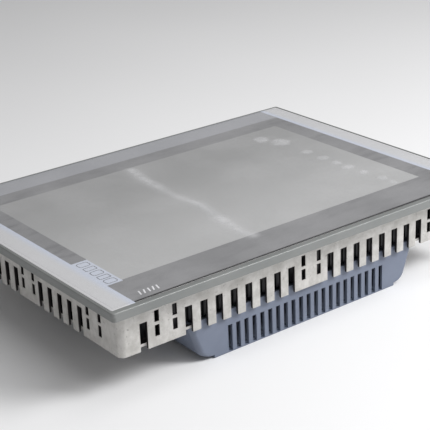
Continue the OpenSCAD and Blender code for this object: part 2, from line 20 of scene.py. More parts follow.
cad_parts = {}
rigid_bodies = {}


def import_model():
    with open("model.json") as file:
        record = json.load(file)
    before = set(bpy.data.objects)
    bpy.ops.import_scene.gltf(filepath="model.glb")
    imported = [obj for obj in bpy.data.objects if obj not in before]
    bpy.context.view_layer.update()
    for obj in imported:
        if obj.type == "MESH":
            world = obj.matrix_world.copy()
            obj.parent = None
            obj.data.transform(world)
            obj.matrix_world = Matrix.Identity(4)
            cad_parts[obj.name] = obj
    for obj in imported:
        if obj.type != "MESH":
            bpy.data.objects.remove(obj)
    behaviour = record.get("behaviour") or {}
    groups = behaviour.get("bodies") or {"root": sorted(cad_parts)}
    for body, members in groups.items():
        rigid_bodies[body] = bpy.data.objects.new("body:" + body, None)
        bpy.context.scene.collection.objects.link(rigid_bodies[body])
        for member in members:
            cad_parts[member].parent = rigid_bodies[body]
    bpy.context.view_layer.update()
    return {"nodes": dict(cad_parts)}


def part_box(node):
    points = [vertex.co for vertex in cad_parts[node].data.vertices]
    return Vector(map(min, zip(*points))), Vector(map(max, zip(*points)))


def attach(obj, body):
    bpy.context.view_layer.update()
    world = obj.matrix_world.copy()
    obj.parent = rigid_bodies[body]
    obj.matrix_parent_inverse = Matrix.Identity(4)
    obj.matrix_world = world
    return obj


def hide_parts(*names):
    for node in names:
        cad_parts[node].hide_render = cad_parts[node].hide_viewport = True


LOG = logging.getLogger("panel")
MM = 0.001
TINY = 0.01  # millimetres within which a face counts as lying on a plane
FLAT = 0.99  # least part of a normal along an axis for a face that looks that way
STEEP = 0.9  # the same for a face that may lean a little
PANEL = "panel"
CARD_LOCK_NODE = "card_lock_slide"

for leftover in list(bpy.data.objects):
    bpy.data.objects.remove(leftover)
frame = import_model()

Tint = tuple[float, float, float]


def tint(red: int, green: int, blue: int) -> Tint:
    """Turns a display colour into the linear colour that shaders take.

    Args:
        red: Red from 0 to 255.
        green: Green from 0 to 255.
        blue: Blue from 0 to 255.

    Returns:
        The linear red, green and blue, each from 0 to 1.
    """

    def linear(value: int) -> float:
        """One part of the colour, without the display's curve."""
        share = value / 255
        return share / 12.92 if share <= 0.04045 else ((share + 0.055) / 1.055) ** 2.4

    return linear(red), linear(green), linear(blue)


# ---------- options ----------


class Axis(Enum):
    """A direction of the frame."""

    X = (1.0, 0.0, 0.0)
    Y = (0.0, 1.0, 0.0)
    Z = (0.0, 0.0, 1.0)

    @property
    def vector(self) -> Vector:
        """The direction as a vector."""
        return Vector(self.value)


class Keep(Enum):
    """Which side of a cut stays."""

    BOTH = "both"
    BELOW = "below"
    ABOVE = "above"


class Caps(Enum):
    """Which ends of a loft are closed."""

    BOTH = "both"
    LAST = "last"
    NONE = "none"


# ---------- shader expressions ----------


class Wire:
    """A value in a node tree that takes part in Python expressions."""

    def __init__(self, graph: "Graph", socket: bpy.types.NodeSocket) -> None:
        """Keeps the tree and the output socket that the value comes from."""
        self.graph = graph
        self.socket = socket

    def _math(self, operation: str, *values: Any) -> "Wire":
        """Adds one Math node and returns its result."""
        node = self.graph.node(
            "ShaderNodeMath", {"operation": operation}, dict(enumerate(values))
        )
        return Wire(self.graph, node.outputs[0])

    def __add__(self, other: Any) -> "Wire":
        """self + other."""
        return self._math("ADD", self, other)

    def __sub__(self, other: Any) -> "Wire":
        """self - other."""
        return self._math("SUBTRACT", self, other)

    def __rsub__(self, other: Any) -> "Wire":
        """other - self."""
        return self._math("SUBTRACT", other, self)

    def __mul__(self, other: Any) -> "Wire":
        """self * other."""
        return self._math("MULTIPLY", self, other)

    def __truediv__(self, other: Any) -> "Wire":
        """self / other."""
        return self._math("DIVIDE", self, other)

    def __or__(self, other: Any) -> "Wire":
        """The larger of two masks."""
        return self._math("MAXIMUM", self, other)

    def __and__(self, other: Any) -> "Wire":
        """Both of two masks."""
        return self._math("MULTIPLY", self, other)

    def __abs__(self) -> "Wire":
        """The value without its sign."""
        return self._math("ABSOLUTE", self)

    __radd__ = __add__
    __rmul__ = __mul__

    def fraction(self) -> "Wire":
        """The value's fraction, which repeats a pattern."""
        return self._math("FRACT", self)

    def ramp(self, low: float, high: float, start: float = 0.0, end: float = 1.0) -> "Wire":
        """Runs smoothly from start to end while the value goes from low to high.

        Args:
            low: Value at which the result is start.
            high: Value at which the result is end.
            start: Result at and below low.
            end: Result at and above high.

        Returns:
            The new value.
        """
        node = self.graph.node(
            "ShaderNodeMapRange",
            {"interpolation_type": "SMOOTHSTEP"},
            {0: self, 1: low, 2: high, 3: start, 4: end},
        )
        return Wire(self.graph, node.outputs[0])

    def within(self, low: float, high: float, soft: float = 0.04) -> "Wire":
        """A mask that is 1 between two levels.

        Args:
            low: Lower level.
            high: Upper level.
            soft: Half the width of each edge.

        Returns:
            The mask.
        """
        return self.ramp(low - soft, low + soft) & self.ramp(high - soft, high + soft, 1.0, 0.0)


class Graph:
    """A material's node tree, built from Python expressions."""

    def __init__(self, name: str) -> None:
        """Makes an empty material with that name."""
        self.material = bpy.data.materials.new(name)
        self.material.use_nodes = True
        self.tree = self.material.node_tree
        self.tree.nodes.clear()

    def node(
        self,
        kind: str,
        settings: dict[str, Any] | None = None,
        sockets: dict[Any, Any] | None = None,
    ) -> bpy.types.Node:
        """Adds any node.

        Args:
            kind: The node's type.
            settings: Properties to set first.
            sockets: Values or wires for its inputs, by index or name.

        Returns:
            The new node.
        """
        made = self.tree.nodes.new(kind)
        for name, value in (settings or {}).items():
            setattr(made, name, value)
        for key, value in (sockets or {}).items():
            if isinstance(value, Wire):
                self.tree.links.new(value.socket, made.inputs[key])
            else:
                made.inputs[key].default_value = value
        return made

    def place(
        self, scale: Sequence[float] = (1, 1, 1), centre: Sequence[float] = (0, 0, 0)
    ) -> Wire:
        """The point on the piece, in millimetres from centre, times scale.

        Args:
            scale: Factor along each axis.
            centre: Where the pattern's own origin lies, in millimetres.

        Returns:
            The point as a vector.
        """
        coordinates = self.node("ShaderNodeTexCoord")
        mapped = self.node(
            "ShaderNodeMapping",
            sockets={
                0: Wire(self, coordinates.outputs["Object"]),
                1: [-c * s for c, s in zip(centre, scale)],
                3: [s / MM for s in scale],
            },
        )
        return Wire(self, mapped.outputs[0])

    def split(self, point: Wire) -> tuple[Wire, Wire, Wire]:
        """The three parts of a point."""
        parts = self.node("ShaderNodeSeparateXYZ", sockets={0: point})
        return tuple(Wire(self, output) for output in parts.outputs)

    def clouds(
        self,
        length: float,
        detail: float = 3.0,
        stretch: Sequence[float] = (1, 1, 1),
        rough: float = 0.55,
    ) -> Wire:
        """Noise from about 0.25 to 0.75.

        Args:
            length: Size of one patch in millimetres.
            detail: Number of finer layers.
            stretch: How much longer the patches are along each axis.
            rough: Strength of the finer layers.

        Returns:
            The noise.
        """
        point = self.place([1 / (length * s) for s in stretch])
        made = self.node(
            "ShaderNodeTexNoise",
            sockets={"Vector": point, "Scale": 1.0, "Detail": detail, "Roughness": rough},
        )
        return Wire(self, made.outputs[0])

    def cells(self, length: float) -> Wire:
        """A random value for each crystal-like cell of that size in millimetres."""
        point = self.place([1 / length] * 3)
        made = self.node("ShaderNodeTexVoronoi", sockets={"Vector": point, "Scale": 1.0})
        return self.split(Wire(self, made.outputs["Color"]))[0]

    def mix(self, share: Wire | float, first: Any, second: Any) -> Wire:
        """Mixes two colours.

        Args:
            share: 0 for the first colour, 1 for the second.
            first: A linear colour or a wire.
            second: A linear colour or a wire.

        Returns:
            The mixed colour.
        """

        def colour(value: Any) -> Any:
            """A wire as it is, or a colour with its opacity."""
            return value if isinstance(value, Wire) else (*value, 1.0)

        made = self.node(
            "ShaderNodeMix", {"data_type": "RGBA"}, {0: share, 6: colour(first), 7: colour(second)}
        )
        return Wire(self, made.outputs[2])

    def relief(self, height: Wire, depth: float, strength: float = 1.0) -> Wire:
        """A bumped normal.

        Args:
            height: Height from 0 to 1.
            depth: What a height of 1 stands for, in millimetres.
            strength: Share of the bump that is used.

        Returns:
            The normal.
        """
        made = self.node(
            "ShaderNodeBump",
            sockets={"Strength": strength, "Distance": depth * MM, "Height": height},
        )
        return Wire(self, made.outputs[0])

    def surface(self, base: Any, rough: Any, **sockets: Any) -> None:
        """Finishes the material with one shader.

        Args:
            base: Colour or wire.
            rough: Roughness value or wire.
            **sockets: Other inputs of the shader, with spaces as underscores.
        """
        inputs = {
            "Base Color": base if isinstance(base, Wire) else (*base, 1.0),
            "Roughness": rough,
        }
        inputs.update({name.replace("_", " "): value for name, value in sockets.items()})
        shader = self.node("ShaderNodeBsdfPrincipled", sockets=inputs)
        output = self.node("ShaderNodeOutputMaterial")
        self.tree.links.new(shader.outputs[0], output.inputs[0])


# ---------- finishes ----------

# Levels of a cloud between which a mask of it runs from 0 to 1.
WIDE = (0.3, 0.7)
MIDDLE = (0.32, 0.68)
EVEN = (0.35, 0.65)


@dataclass(frozen=True)
class Finish:
    """How a surface looks.

    Attributes:
        slot: The record's material slot that the finish belongs to.
        base: Main colour.
        shade: Colour of its darker or lighter patches.
        patch: Size of the patches in millimetres.
        rough: Lowest and highest roughness.
        grain: Size of the fine relief in millimetres.
        depth: Depth of the fine relief in millimetres.
        metallic: 1 for bare metal.
        coat: Strength of a clear coat.
        title: Name of the material, or nothing to name it after the slot.
    """

    slot: str
    base: Tint
    shade: Tint
    patch: float = 30.0
    rough: tuple[float, float] = (0.4, 0.55)
    grain: float = 0.8
    depth: float = 0.02
    metallic: float = 0.0
    coat: float = 0.0
    title: str = ""

    @property
    def name(self) -> str:
        """The material's name."""
        return f"{self.title or self.slot}_finish"

    def material(self) -> bpy.types.Material:
        """The material, made once for each name."""
        known = bpy.data.materials.get(self.name)
        if known:
            return known
        graph = Graph(self.name)
        self.paint(graph)
        return graph.material

    def paint(self, graph: Graph) -> None:
        """Draws the look into an empty tree."""
        patches = graph.clouds(self.patch).ramp(*MIDDLE)
        graph.surface(
            graph.mix(patches, self.base, self.shade),
            self.roughness(graph, patches),
            Normal=graph.relief(graph.clouds(self.grain, 2.0), self.depth),
            Metallic=self.metallic,
            Coat_Weight=self.coat,
        )

    def roughness(self, graph: Graph, patches: Wire) -> Wire:
        """Roughness that follows the patches and a finer cloud.

        Args:
            graph: The tree to add to.
            patches: Mask of the patches.

        Returns:
            The roughness.
        """
        low, high = self.rough
        fine = graph.clouds(self.patch / 6).ramp(*WIDE)
        return low + (high - low) * (0.5 * patches + 0.5 * fine)


@dataclass(frozen=True)
class CastMetal(Finish):
    """Raw cast metal: two sizes of blotches, small pits and a sanded skin, with painted shade on the inside
    and in the openings.

    Attributes:
        pit: Colour in the pits.
        pit_size: Distance between pits in millimetres.
        inside: Colour of the painted shade on the inside and on the openings' edges.
        outside: Half the outside's width and height, and its corner radius.
        web: Level below which the inside stays free of painted shade, and the wall's thickness.
    """

    pit: Tint = tint(120, 118, 114)
    pit_size: float = 2.6
    inside: Tint = tint(38, 34, 36)
    outside: tuple[float, float, float] = (154.5, 110.0, 4.5)
    web: tuple[float, float] = (30.9, 1.85)

    def paint(self, graph: Graph) -> None:
        """Draws the look into an empty tree."""
        blotches = graph.clouds(self.patch, 5.0, rough=0.65).ramp(*WIDE)
        skin = graph.clouds(self.grain, 4.0, rough=0.7)
        sanded = graph.clouds(1.4, 3.0, (1, 1, 5)).ramp(*EVEN)
        pits = graph.clouds(self.pit_size, 2.0).ramp(0.66, 0.76)
        base = graph.mix(blotches, self.base, self.shade)
        base = graph.mix(0.25 * sanded, base, self.shade)
        base = graph.mix(0.5 * pits, base, self.pit)
        height = skin + 0.6 * sanded - 1.2 * pits
        # painted shade: the slots' side faces and everything behind the wall are darkened where shade falls,
        # and made rougher and less metallic
        black = self.painted_shade_mask(graph)
        graph.surface(
            graph.mix(black, base, self.inside),
            self.roughness(graph, blotches) + 0.2 * black,
            Normal=graph.relief(height, self.depth),
            Metallic=self.metallic - self.metallic * black,
        )

    def painted_shade_mask(self, graph: Graph) -> Wire:
        """A mask of the painted shade: everything behind the outer skin, but not the rear web's outside.

        Args:
            graph: The tree to add to.

        Returns:
            The mask.
        """
        wide, high, corner = self.outside
        level, wall = self.web
        x, y, z = graph.split(graph.place())
        over_x = (abs(x) - (wide - corner)) | 0.0
        over_y = (abs(y) - (high - corner)) | 0.0
        reach = over_x * over_x + over_y * over_y
        behind = reach.ramp((corner - 0.45) ** 2, (corner - 0.2) ** 2, 1.0, 0.0)
        deep = reach.ramp((corner - wall - 0.1) ** 2, (corner - wall) ** 2, 1.0, 0.0)
        return behind & (1 - deep * z.ramp(level - 0.05, level + 0.05, 1.0, 0.0))


@dataclass(frozen=True)
class RolledSheet(Finish):
    """Sheet metal with rolling lines along one axis, and zinc crystals where it has them.

    Attributes:
        along: How much longer the lines are along each axis.
        crystal: Size of the zinc crystals in millimetres, or 0 for none.
    """

    along: tuple[float, float, float] = (30.0, 1.0, 1.0)
    crystal: float = 0.0

    def paint(self, graph: Graph) -> None:
        """Draws the look into an empty tree."""
        lines = graph.clouds(self.grain, 4.0, self.along).ramp(*WIDE)
        patches = graph.clouds(self.patch).ramp(*EVEN)
        look = 0.5 * lines + 0.5 * patches
        if self.crystal:
            look = 0.5 * look + 0.5 * graph.cells(self.crystal)
        low, high = self.rough
        graph.surface(
            graph.mix(look, self.base, self.shade),
            low + (high - low) * look,
            Normal=graph.relief(lines, self.depth),
            Metallic=self.metallic,
        )


@dataclass(frozen=True)
class StreakedSheet(Finish):
    """Black sheet with faint lighter upright streaks.

    Attributes:
        streak_tint: Colour of the lighter streaks.
    """

    streak_tint: Tint = tint(96, 92, 84)

    def paint(self, graph: Graph) -> None:
        """Draws the look into an empty tree."""
        marks = graph.clouds(1.1, 3.0, (1, 1, 14)).ramp(0.58, 0.74)
        patches = graph.clouds(self.patch).ramp(0.4, 0.7)
        base = graph.mix(patches, self.base, self.shade)
        graph.surface(
            graph.mix(0.35 * marks & patches, base, self.streak_tint),
            self.roughness(graph, patches),
            Normal=graph.relief(graph.clouds(self.grain), self.depth),
        )


@dataclass(frozen=True)
class PrintedFront(Finish):
    """The printed foil: the picture's window, its dark surround and pale strips, with a painted reflection
    in the window, painted shadows of the film's creases and painted shade along the upper edge.

    Attributes:
        surround: Colour of the surround.
        strip: Colour of the pale strips.
        strip_edge: Colour of a strip's inner edge, where the foil is thin.
        window: Half the picture's width and height.
        shift: How far the picture's centre lies off the front's, both ways.
        strip_x: Where the strips on the short sides begin.
        strip_y: Where the strip on the bottom edge begins.
        patch_low: Lower corner of the pale patch beside the picture.
        patch_high: Upper corner of that patch.
        painted_gap_shade: Colour of the painted shade along the upper edge, where the gap to the rim lies in
            shade.
        painted_gap_shade_y: Where that painted shade begins.
        far: Colour of the strip on the bottom edge.
        painted_crease_shadow: Colour of the painted shadows of the film's creases on the surround.
        near: Colour of the painted reflection that lightens the picture's window towards the upper edge.
    """

    surround: Tint = tint(117, 117, 119)
    strip: Tint = tint(196, 196, 198)
    strip_edge: Tint = tint(190, 198, 216)
    window: tuple[float, float] = (131.5, 81.75)
    shift: float = 2.0
    strip_x: float = 145.3
    strip_y: float = -96.5
    patch_low: tuple[float, float] = (133.5, 43.0)
    patch_high: tuple[float, float] = (145.4, 85.0)
    painted_gap_shade: Tint = tint(14, 13, 16)
    painted_gap_shade_y: float = 114.1
    far: Tint = tint(150, 151, 156)
    painted_crease_shadow: Tint = tint(92, 92, 95)
    near: Tint = tint(170, 170, 170)

    def paint(self, graph: Graph) -> None:
        """Draws the look into an empty tree."""
        x, y, _ = graph.split(graph.place())
        wide, high = self.window
        picture = (x - self.shift).within(-wide, wide) & (y - self.shift).within(-high, high)
        (low_x, low_y), (high_x, high_y) = self.patch_low, self.patch_high
        beside = x.within(low_x, high_x) & y.within(low_y, high_y)
        across = abs(x)
        sides = across.ramp(self.strip_x - 0.04, self.strip_x + 0.04)
        bottom = y.ramp(self.strip_y - 0.04, self.strip_y + 0.04, 1.0, 0.0)
        pale = sides | bottom | beside
        edge = sides & across.ramp(self.strip_x, self.strip_x + 7.0, 0.8, 0.0) | beside * 0.7
        haze = graph.clouds(self.patch, 4.0).ramp(*WIDE)
        # painted reflection: the window grows lighter towards the upper edge
        reflection_ramp = y.ramp(-70.0, 70.0)
        inside = graph.mix(reflection_ramp, graph.mix(haze, self.base, self.shade), self.near)
        # painted shadows of the film's creases across the surround, stronger towards the short sides
        crease_shadow_mask = graph.clouds(7.0, 3.0, (3, 1, 1)).ramp(0.45, 0.7)
        crease_shadow_mask = crease_shadow_mask & across.ramp(100.0, 140.0, 0.35, 0.8)
        dark = graph.mix(picture, graph.mix(crease_shadow_mask, self.surround, self.painted_crease_shadow), inside)
        light = graph.mix(bottom & (1 - sides), self.strip, self.far)
        light = graph.mix(edge, light, self.strip_edge)
        # painted shade along the upper edge, where the gap to the rim lies in shade; not on the strips
        line = y.ramp(self.painted_gap_shade_y - 0.05, self.painted_gap_shade_y + 0.05) & (1 - sides)
        low, top = self.rough
        graph.surface(
            graph.mix(line, graph.mix(pale, dark, light), self.painted_gap_shade),
            low + (top - low) * haze + 0.12 * pale,
            Normal=graph.relief(graph.clouds(self.grain, 2.0), self.depth),
            Coat_Weight=self.coat,
            Coat_Roughness=0.12,
        )


@dataclass(frozen=True)
class CreasedFilm(Finish):
    """Thin clear film that turns whiter where it is creased or lifted, partly whitened film and partly
    painted highlight.

    Attributes:
        clear: Cover of the flat film.
        whitening_and_sheen: Cover of a full crease, partly whitened film and partly painted highlight.
        crease: Name of the mesh attribute that says how much the film is whitened, partly with painted
            highlight.
    """

    clear: float = 0.08
    whitening_and_sheen: float = 0.5
    crease: str = "lift"

    def paint(self, graph: Graph) -> None:
        """Draws the look into an empty tree."""
        stored = graph.node("ShaderNodeAttribute", {"attribute_name": self.crease})
        whitening_and_sheen_share = Wire(graph, stored.outputs["Fac"])
        haze = graph.clouds(self.patch, 4.0).ramp(*WIDE)
        ragged = graph.clouds(5.0, 4.0).ramp(0.25, 0.6, 0.6, 1.0)
        low, high = self.rough
        graph.surface(
            graph.mix(haze, self.base, self.shade),
            low + (high - low) * haze,
            # partly whitened film, partly painted highlight where the film is creased or lifted
            Alpha=self.clear * (0.7 + 0.6 * haze) + (self.whitening_and_sheen - self.clear) * (whitening_and_sheen_share * ragged),
            Normal=graph.relief(graph.clouds(self.grain, 3.0), self.depth),
        )


@dataclass(frozen=True)
class CircuitBoard(Finish):
    """Solder mask over fine tracks.

    Attributes:
        track: Colour of the mask over copper.
        pitch: Distance between tracks in millimetres.
    """

    track: Tint = tint(60, 132, 84)
    pitch: float = 1.9

    def paint(self, graph: Graph) -> None:
        """Draws the look into an empty tree."""
        x, y, _ = graph.split(graph.place([1 / self.pitch] * 3))
        region = graph.cells(14.0).within(0.45, 1.1)
        upright, level = (part.fraction().within(0.3, 0.7) for part in (x, y))
        tracks = upright & region | level & (1 - region)
        tracks = tracks & graph.clouds(9.0).ramp(0.42, 0.5)
        graph.surface(
            graph.mix(tracks, self.base, self.track),
            0.3 + 0.1 * tracks,
            Normal=graph.relief(tracks, self.depth),
        )


@dataclass(frozen=True)
class DottedPlate(Finish):
    """Clear plastic plate with a grid of white dots.

    Attributes:
        pitch: Distance between dots in millimetres.
    """

    pitch: float = 2.4

    def paint(self, graph: Graph) -> None:
        """Draws the look into an empty tree."""
        x, y, _ = graph.split(graph.place([1 / self.pitch] * 3))
        dots = x.fraction().within(0.3, 0.7, 0.1) & y.fraction().within(0.3, 0.7, 0.1)
        graph.surface(
            graph.mix(dots, self.base, self.shade),
            0.18 + 0.3 * dots,
            Normal=graph.relief(dots, self.depth),
        )


@dataclass(frozen=True)
class BlankLabel(Finish):
    """A label with an empty printed frame and rules but no lettering.

    Attributes:
        ink: Colour of the lines.
        centre: Middle of the label.
        half: Half its width and height.
        margin: Distance of the frame from the edge.
        line: Width of a line.
    """

    ink: Tint = tint(120, 122, 126)
    centre: tuple[float, float, float] = (0.0, 30.0, 0.0)
    half: tuple[float, float] = (35.0, 20.0)
    margin: float = 2.5
    line: float = 0.5

    def paint(self, graph: Graph) -> None:
        """Draws the look into an empty tree."""
        x, y, _ = graph.split(graph.place(centre=self.centre))
        wide, high = (side - self.margin for side in self.half)
        thick = self.line
        outer = x.within(-wide, wide) & y.within(-high, high)
        inner = x.within(thick - wide, wide - thick) & y.within(thick - high, high - thick)
        level, upright = (part.within(-thick / 2, thick / 2) for part in (y, x))
        rules = level | upright & y.within(-high, 0)
        lines = outer - inner | outer & rules
        wear = graph.clouds(self.patch, 5.0).ramp(0.55, 0.75)
        graph.surface(
            graph.mix(lines, graph.mix(wear, self.base, self.shade), self.ink),
            0.35 + 0.2 * wear,
            Normal=graph.relief(graph.clouds(self.grain), self.depth),
        )


@dataclass(frozen=True)
class LinedSocket(Finish):
    """A metal or plastic shell with a differently coloured inside.

    Attributes:
        part: Name of the piece that the finish is for.
        inside: Colour of what lies between the corners below.
        low: Lower corner of the inside.
        high: Upper corner of the inside.
        inside_metal: 1 where the inside is metal, such as contacts.
    """

    part: str = ""
    inside: Tint = tint(30, 31, 34)
    low: tuple[float, float, float] = (0.0, 0.0, 0.0)
    high: tuple[float, float, float] = (0.0, 0.0, 0.0)
    inside_metal: float = 0.0

    @property
    def name(self) -> str:
        """The material's name, which is the piece's own."""
        return f"{self.part}_finish"

    def paint(self, graph: Graph) -> None:
        """Draws the look into an empty tree."""
        x, y, z = graph.split(graph.place())
        core = x.within(self.low[0], self.high[0])
        core = core & y.within(self.low[1], self.high[1])
        core = core & z.within(self.low[2], self.high[2])
        patches = graph.clouds(self.patch).ramp(*EVEN)
        shell = graph.mix(patches, self.base, self.shade)
        graph.surface(
            graph.mix(core, shell, self.inside),
            self.roughness(graph, patches) + 0.1 * core,
            Metallic=self.metallic + (self.inside_metal - self.metallic) * core,
            Normal=graph.relief(graph.clouds(self.grain, 2.0), self.depth),
        )


BEZEL_PAINT = Finish(
    "bezel_paint", tint(117, 120, 119), tint(126, 128, 127), 45, (0.36, 0.46), 0.5, 0.006, coat=0.15
)
SEAL_RUBBER = Finish("seal_rubber", tint(40, 40, 42), tint(54, 54, 56), 12, (0.7, 0.85), 0.6, 0.02)
FOAM = Finish("foam", tint(34, 34, 35), tint(48, 48, 50), 4, (0.85, 0.95), 0.5, 0.08)
DISPLAY_DARK = Finish("display_dark", tint(38, 42, 46), tint(46, 48, 54), 60, (0.2, 0.3), 1.5, 0.004)
TOUCH_GLASS = Finish(
    "touch_glass", tint(120, 138, 136), tint(132, 150, 148), 70, (0.06, 0.12), 2.0, 0.002, coat=0.5
)
PRINTED_FOIL = PrintedFront(
    "printed_foil", tint(140, 140, 140), tint(145, 145, 145), 90, (0.30, 0.38), 0.35, 0.003, coat=0.3
)
CLEAR_FILM = CreasedFilm(
    "clear_film", tint(225, 226, 228), tint(236, 236, 238), 50, (0.18, 0.3), 5.0, 0.05
)
CAST_ALUMINIUM = CastMetal(
    "cast_aluminium", tint(207, 205, 202), tint(180, 178, 174), 9, (0.42, 0.62), 0.5, 0.05, metallic=0.35
)
BLACK_SHEET = StreakedSheet(
    "black_sheet", tint(30, 30, 33), tint(44, 44, 47), 16, (0.35, 0.5), 0.7, 0.01
)
COVER_PLASTIC = Finish(
    "cover_plastic", tint(108, 116, 133), tint(116, 124, 141), 28, (0.46, 0.58), 0.45, 0.03
)
SCREW_STEEL = RolledSheet(
    "screw_steel", tint(206, 206, 204), tint(176, 176, 176), 5, (0.22, 0.4), 0.5, 0.01, 1.0, along=(1, 1, 1)
)
PLATE_STEEL = RolledSheet(
    "plate_steel", tint(196, 198, 200), tint(166, 168, 172), 22, (0.28, 0.46), 0.4, 0.008, 0.9, crystal=5.0
)
PLATE_ALUMINIUM = RolledSheet(
    "plate_aluminium", tint(198, 200, 203), tint(180, 182, 186), 30, (0.3, 0.42), 0.35, 0.01, 0.95
)
TRAY_STEEL = RolledSheet(
    "tray_steel", tint(186, 186, 188), tint(160, 160, 163), 25, (0.3, 0.45), 0.5, 0.01, 0.9
)
PORT_STEEL = RolledSheet(
    "port_steel", tint(208, 209, 211), tint(186, 187, 190), 6, (0.2, 0.34), 0.3, 0.006, 1.0
)
BOARD_GREEN = CircuitBoard("board_green", tint(36, 96, 62), tint(36, 96, 62), depth=0.03)
CHIP_BLACK = Finish("chip_black", tint(38, 38, 40), tint(50, 50, 52), 6, (0.5, 0.65), 0.3, 0.02)
HEADER_IVORY = Finish("header_ivory", tint(222, 216, 198), tint(208, 200, 178), 5, (0.4, 0.55), 0.4, 0.01)
FLAT_CABLE = RolledSheet(
    "flat_cable", tint(214, 178, 116), tint(178, 132, 70), 10, (0.25, 0.4), 0.9, 0.03, along=(1, 60, 60)
)
LIGHT_GUIDE = DottedPlate("light_guide", tint(220, 226, 230), tint(250, 250, 250), depth=0.02)
TERMINAL_GREEN = Finish("terminal_green", tint(64, 140, 92), tint(54, 124, 80), 8, (0.4, 0.55), 0.4, 0.02)
JACK_GREEN = Finish("jack_green", tint(140, 196, 150), tint(126, 182, 138), 5, (0.35, 0.5), 0.3, 0.01)
SLIDE_PLASTIC = Finish("slide_plastic", tint(84, 92, 104), tint(94, 102, 114), 10, (0.45, 0.6), 0.4, 0.02)
BRASS = RolledSheet(
    "brass", tint(222, 190, 120), tint(196, 160, 88), 5, (0.22, 0.38), 0.3, 0.01, 1.0, along=(9, 9, 1)
)
LABEL_WHITE = BlankLabel("label_white", tint(226, 226, 223), tint(208, 208, 204), 14, depth=0.004)
MARK_GREY = Finish(
    "printed_foil", tint(70, 72, 78), tint(82, 84, 90), 12, (0.4, 0.5), 0.3, 0.003, title="grey_marks"
)
MARK_WHITE = Finish(
    "printed_foil", tint(226, 226, 228), tint(214, 214, 217), 12, (0.4, 0.5), 0.3, 0.003, title="white_marks"
)


# ---------- modelling ----------


@dataclass(frozen=True)
class Span:
    """The box of a CAD node, in millimetres.

    Attributes:
        low: Lowest corner.
        high: Highest corner.
    """

    low: Vector
    high: Vector

    @classmethod
    def of(cls, node: str) -> "Span":
        """The span of one CAD node."""
        low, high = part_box(node)
        return cls(low / MM, high / MM)

    @property
    def size(self) -> Vector:
        """Length along each axis."""
        return self.high - self.low

    @property
    def centre(self) -> Vector:
        """The middle of the box."""
        return (self.low + self.high) / 2


@dataclass(frozen=True)
class Outline:
    """A rectangle with round corners in a level plane.

    Attributes:
        width: Length along X.
        height: Length along Y.
        radius: Radius of its corners.
        x: Middle along X.
        y: Middle along Y.
        steps: Edges in each corner.
    """

    width: float
    height: float
    radius: float
    x: float = 0.0
    y: float = 0.0
    steps: int = 8

    def grown(self, by: float, radius: float | None = None) -> "Outline":
        """The outline moved outwards on all sides.

        Args:
            by: Distance to move, negative for inwards.
            radius: New corner radius, or None to grow it too.

        Returns:
            The new outline.
        """
        corner = max(0.05, self.radius + by) if radius is None else radius
        return Outline(self.width + 2 * by, self.height + 2 * by, corner, self.x, self.y, self.steps)


